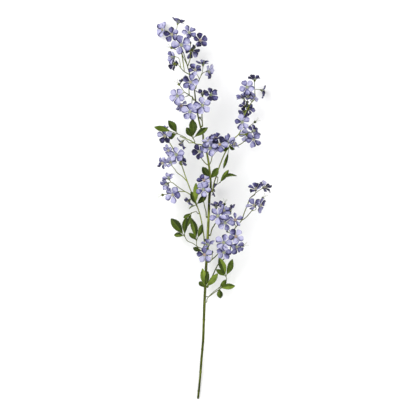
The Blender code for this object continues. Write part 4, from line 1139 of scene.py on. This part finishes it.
def seated(carrier, next_point):
    """A root that grows out of a round carrier: its foot, just inside it, and its knee."""
    middle, along, radius = carrier
    way = Vector(next_point) - middle
    side = way - way.project(along)
    side.normalize()
    return [middle + side * radius * ROOT_DEPTH, middle + side * (radius + SEAT_GAP + ROOT_KNEE)]


def add_sepals(shape, lip, facing, turn, lift, kind):
    """Five small pointed sepals round the lip of a cup."""
    lift = math.radians(lift)
    side = facing.orthogonal().normalized()
    along = np.linspace(0, 1, SEPAL_ROWS)[:, None]
    across = np.linspace(-1, 1, SEPAL_COLUMNS)
    half = SEPAL_HALF_WIDTH * (1 - along ** SEPAL_TAPER) + SEPAL_TIP_HALF_WIDTH
    reach = SEPAL_START + SEPAL_LENGTH * along * math.cos(lift)
    height = SEPAL_LENGTH * along * math.sin(lift) - SEPAL_DROOP * along ** 2
    for number in range(SEPALS):
        out = Matrix.Rotation(math.radians(turn + number * 360 / SEPALS), 3, facing) @ side
        grid = np.array(lip) + reach[:, :, None] * np.array(out) + height[:, :, None] * np.array(facing)
        grid = grid + (half * across)[:, :, None] * np.array(facing.cross(out))
        add_sheet(shape, grid, SEPAL_SHEET, across, kind)


def add_stalk(shape, start, flower, kind):
    """A flower's stalk, its cup and the sepals. A low stalk lies on the surface."""
    facing = unit_towards(flower.tilt, flower.toward)
    lip = Vector(flower.at) - facing * (SOLID_PETAL + SEAT_GAP)
    neck = lip - facing * CUP_LENGTH
    begin = Vector(start)
    handle = neck - facing * STALK_HANDLE_SHARE * (neck - begin).length
    before = begin.lerp(handle, STALK_BEND_SHARE)
    after = handle.lerp(neck, STALK_BEND_SHARE)
    bend = before.lerp(after, STALK_BEND_SHARE)
    points, radii = smooth_route([begin, bend, neck], [STALK_RADIUS * share for share in STALK_SWELLING])
    points[:, 2] = np.maximum(points[:, 2], STALK_RADIUS - DESIGN_TO_PART[2])
    add_profile(shape, neck, facing * CUP_LENGTH, CUP_PROFILE, TWIG_SIDES, kind, (points, radii))
    add_sepals(shape, lip, facing, flower.spin, OPEN_SEPAL_LIFT, kind)


def add_spent_cup(shape, start, cup, kind, looks):
    """A cup that has dropped its petals, with its sepals and styles."""
    begin = Vector(start)
    end = Vector(cup)
    way = (end - begin).normalized()
    middle = (begin + end) / 2 - Vector((0, 0, SPENT_SAG))
    line = smooth_route([begin, middle, end + way * SPENT_NECK], [STALK_RADIUS] * 3)
    add_profile(shape, end, way, SPENT_PROFILE, TWIG_SIDES, kind, line)
    turn = looks.uniform(0, 360 / SEPALS)
    add_sepals(shape, end + way * SPENT_SEPALS_AT, way, turn, SPENT_SEPAL_LIFT, kind)
    across = way.orthogonal().normalized()
    for number in range(STYLES):
        side = Matrix.Rotation(2 * math.pi * number / STYLES, 3, way) @ across
        foot = end + way + side * SPENT_STYLE_RADII[0]
        tip = end + (way + side * SPENT_STYLE_SPREAD) * SPENT_STYLE_LENGTH
        bow = foot.lerp(tip, 0.5) + way * SPENT_STYLE_BOW
        add_tube(shape, *smooth_route([foot, bow, tip], SPENT_STYLE_RADII), STYLE_SIDES, DRY_STYLE_KIND)
        add_profile(shape, tip, way, SPENT_STIGMA_PROFILE, STYLE_SIDES, DRY_STYLE_KIND)


def add_bud(shape, start, tip, kind):
    """A bud on its stalk: a green cup and a violet tip."""
    begin = Vector(start)
    end = Vector(tip)
    way = (end - begin).normalized() * BUD_LENGTH
    neck = end - way
    line = smooth_route([begin, begin.lerp(end, BUD_BEND_SHARE), neck], [STALK_RADIUS] * 3)
    add_profile(shape, neck, way, BUD_CUP_PROFILE, TWIG_SIDES, kind, line)
    add_profile(shape, neck, way, BUD_TIP_PROFILE, TWIG_SIDES, BUD_TIP_KIND)


def add_route(shape, points, first_radius, last_radius, kind):
    radii = np.linspace(first_radius, last_radius, len(points))
    add_tube(shape, *smooth_route(points, radii), TWIG_SIDES, kind)


def add_spray(shape, spray, looks):
    """A twig's stalks, spent cups and buds."""
    for start, names in spray.stalks:
        for name in names.split():
            add_stalk(shape, start, FLOWER[name], (looks.uniform(*STALK_BROWNNESS), looks.random(), 0))
    for start, cup in spray.spent:
        add_spent_cup(shape, start, cup, (CUP_BROWNNESS, looks.random(), 0), looks)
    for start, tip in spray.buds:
        add_bud(shape, start, tip, (CUP_BROWNNESS, looks.random(), 0))


def make_twig(name, twig, material):
    """One side twig, from its swollen root in the main stem to its cups."""
    looks = random.Random("twig " + name)
    shape = Shape()
    kind = (looks.uniform(*TWIG_BROWNNESS), looks.random(), 0)
    root = seated(stem_part(twig.seat_y), twig.routes[0][0])
    add_route(shape, root + list(twig.routes[0]), TWIG_ROOT_RADIUS, TWIG_END_RADIUS, kind)
    swelling = [root[0].lerp(root[1], share) for share, _ in ROOT_SWELLING]
    add_tube(shape, swelling, [radius for _, radius in ROOT_SWELLING], SWELLING_SIDES, kind)
    for route in twig.routes[1:]:
        add_route(shape, route, TWIG_END_RADIUS, FORK_END_RADIUS, kind)
    add_spray(shape, twig, looks)
    make_piece(name + "_fine", shape, material, "stem", name)


def make_main_stem(material):
    """The main stem with its knots, and the spray that grows from it."""
    looks = random.Random("main stem")
    shape = Shape()
    rings = [(place[1], place, value_at(STEM_RADII, place[1])) for place in STEM_ROUTE]
    for knot in STEM_KNOTS:
        for shift, growth in KNOT_PROFILE:
            middle, _, radius = stem_part(knot + shift)
            rings.append((knot + shift, tuple(middle), radius * growth))
    rings.sort()
    points, radii = smooth_route([place for _, place, _ in rings], [radius for _, _, radius in rings])
    sway = [1 + STEM_SWAY * math.sin(STEM_SWAY_TURN * y) for _, y, _ in points]
    sway = [share + looks.uniform(*STEM_UNEVENNESS) for share in sway]
    # Brownness along the main stem, with painted shadow in the darker spans under the flowers
    kinds = [(value_at(STEM_BROWN_AND_SHADOW, y), 0.5, 0) for _, y, _ in points for _ in range(STEM_SIDES)]
    add_tube(shape, points, radii * sway, STEM_SIDES, kinds)
    for route in MAIN_SPRAY.routes:
        add_route(shape, route, TWIG_END_RADIUS, FORK_END_RADIUS, SPRAY_KIND)
    add_spray(shape, MAIN_SPRAY, looks)
    make_piece("main_stem_fine", shape, material, "stem", "main_stem")


# Leaves

def leaflet_height(blade, share, half, looks):
    """How far a leaflet's points lie over a straight line: its arch, fold, waves and quilted ribs."""
    sides = np.abs(LEAF_ACROSS)
    wave = looks.uniform(*LEAF_WAVINESS) * blade.width / 2
    phase = looks.uniform(0, 2 * math.pi)
    arched = blade.arch * np.sin(math.pi * share)
    folded = half * BLADE_FOLD * sides ** FOLD_POWER
    waves = np.sin(LEAF_WAVE_TURN * share + phase + LEAF_WAVE_SHIFT * np.sign(LEAF_ACROSS))
    ribs = np.sin(2 * math.pi * SIDE_RIBS * (share - SIDE_RIB_SLANT * sides))
    return arched + folded + wave * sides ** 2 * waves + QUILTING * blade.width * ribs * sides * (1 - sides)


def leaflet_grid(base, blade, looks):
    """The middle of a leaflet's sheet."""
    start = Vector(base)
    tip = Vector(blade.tip)
    length = (tip - start).length
    along = (tip - start).normalized()
    level = along.cross(Vector((0, 0, 1))).normalized()
    beside = Matrix.Rotation(math.radians(blade.roll), 3, along) @ level
    up = beside.cross(along).normalized()
    share = np.linspace(BLADE_START_AT, 1, LEAF_ROWS)[:, None]
    blade_share = np.clip((share - blade.neck) / (1 - blade.neck), 0, 1)
    outline = np.sin(math.pi * blade_share ** LEAFLET_SKEW) ** LEAFLET_ROUNDNESS
    half = LEAF_NECK_HALF_WIDTH * (1 - LEAF_NECK_TAPER * blade_share) + blade.width / 2 * outline
    saw = np.abs((share * LEAF_TEETH * 2) % 2 - 1)
    toothed = (np.abs(LEAF_ACROSS) == 1) * (blade_share > TOOTHED_FROM) * (blade_share < TOOTHED_TO)
    sideways = half * LEAF_ACROSS * (1 - TOOTH_DEPTH * saw * toothed)
    bow = looks.uniform(*LEAF_BOW) * length * np.sin(math.pi * share) ** 2
    height = leaflet_height(blade, share, half, looks)
    return (np.array(start) + (length * share)[:, :, None] * np.array(along)
            + (bow + sideways)[:, :, None] * np.array(beside) + height[:, :, None] * np.array(up))


def add_blade(shape, base, blade, light, stalk_kind, looks):
    """A leaflet and its thick middle rib."""
    grid = leaflet_grid(base, blade, looks)
    add_sheet(shape, grid, LEAF_SHEET, LEAF_ACROSS, (light, looks.random(), 0))
    middle = grid[:, LEAF_COLUMNS // 2]
    add_tube(shape, *smooth_route([middle[i] for i in RIB_PLACES], RIB_RADII), RIB_SIDES, stalk_kind)


def carrier_of(leaf):
    """The middle, direction and radius of what carries the leaf, where it is seated."""
    at = Vector(leaf.at)
    if leaf.carrier == "stem":
        return stem_part(at.y)
    route = [Vector(place) for place in TWIGS[leaf.carrier].routes[0]]
    nearest = min(range(1, len(route) - 1), key=lambda i: (route[i] - at).length)
    return route[nearest], route[nearest + 1] - route[nearest - 1], TWIG_ROOT_RADIUS


def make_leaf(name, leaf, material):
    """A leaf's stalk, the joint at its end and the leaflets."""
    looks = random.Random("leaf " + name)
    shape = Shape()
    stalk_kind = (CUP_BROWNNESS, looks.random(), 1)
    joint = Vector(leaf.stalk[-1])
    points = seated(carrier_of(leaf), leaf.stalk[0]) + list(leaf.stalk)
    first_radius, last_radius = (LEAF_STALK_RADIUS * share for share in LEAF_STALK_TAPER)
    add_route(shape, points, first_radius, last_radius, stalk_kind)
    before = (joint - Vector(points[-2])).normalized()
    add_profile(shape, joint, before, LEAF_JOINT_PROFILE, TWIG_SIDES, stalk_kind)
    for blade in leaf.leaflets:
        usual = looks.uniform(*LEAF_BRIGHTNESS)
        # A leaflet's given lightness is painted light and shade; the others get a random tone.
        light = usual if blade.light is None else blade.light
        add_blade(shape, blade.base or joint, blade, light, stalk_kind, looks)
    make_piece(name + "_fine", shape, material, "leaf", name)


def make_twig_leaves(material):
    shape = Shape()
    looks = random.Random("twig leaf")
    for blade in TWIG_LEAVES:
        add_blade(shape, TWIG_LEAVES_BASE, blade, TWIG_LEAVES_LIGHT, TWIG_LEAF_STALK_KIND, looks)
    make_piece("twig_right_high_leaf", shape, material, "leaf", "twig_right_high")


# Stage

def area_light(name, place, power):
    """A large soft light that points at the sprig's middle."""
    lamp = bpy.data.lights.new(name, "AREA")
    lamp.size = LIGHT_SIZE
    lamp.energy = power
    made = placed_object(name, lamp, place)
    made.rotation_euler = (-Vector(place)).to_track_quat("-Z", "Y").to_euler()


def make_stage():
    """The pale floor, the soft lights and the pale surroundings."""
    mesh = bpy.data.meshes.new("floor")
    corners = [(x * FLOOR_HALF, y * FLOOR_HALF, 0) for x, y in ((-1, -1), (1, -1), (1, 1), (-1, 1))]
    mesh.from_pydata(corners, [], [(0, 1, 2, 3)])
    mesh.materials.append(floor_material())
    floor = placed_object("floor", mesh, (0, 0, -FLOOR_DROP))
    world = bpy.data.worlds.new("surroundings")
    world.use_nodes = True
    background = world.node_tree.nodes["Background"].inputs
    background["Color"].default_value = (*SURROUNDINGS_COLOUR, 1)
    background["Strength"].default_value = SURROUNDINGS_STRENGTH
    bpy.context.scene.world = world
    for name, (place, power) in LIGHTS.items():
        area_light(name, place, power)
    bpy.context.scene.view_settings.view_transform = "Standard"


def make_camera():
    """Straight above the sprig, as the photograph shows it."""
    camera = bpy.data.cameras.new("camera")
    camera.sensor_width = SENSOR
    camera.lens = SENSOR * CAMERA_DISTANCE / PHOTO_SPAN
    camera.clip_end = CAMERA_REACH
    middle = (Vector(PHOTO_MIDDLE) + Vector(DESIGN_TO_PART)) * MM
    place = middle + Vector((0, 0, CAMERA_DISTANCE * MM))
    bpy.context.scene.camera = placed_object("camera", camera, place)


def make_flowers(name, members, add_part, material, slot, *replaced):
    """One piece that holds the same part of several flowers."""
    shape = Shape()
    for member in members.split():
        add_part(shape, FLOWER[member])
    make_piece(name, shape, material, slot, *replaced)


def main():
    stem, leaf, petal, centre = stem_material(), leaf_material(), petal_material(), centre_material()
    make_main_stem(stem)
    for name, twig in TWIGS.items():
        make_twig(name, twig, stem)
    make_twig_leaves(leaf)
    for name, plan in LEAVES.items():
        make_leaf(name, plan, leaf)
    for name, members in BUNCHES.items():
        slot = "petal_" + FLOWER[members.split()[0]].tone
        make_flowers(name + "_petals", members, add_flower, petal, slot, name)
    for name, members in CENTRE_GROUPS.items():
        make_flowers(name, members, add_centre, centre, "flower_centre")
    make_stage()
    make_camera()


main()
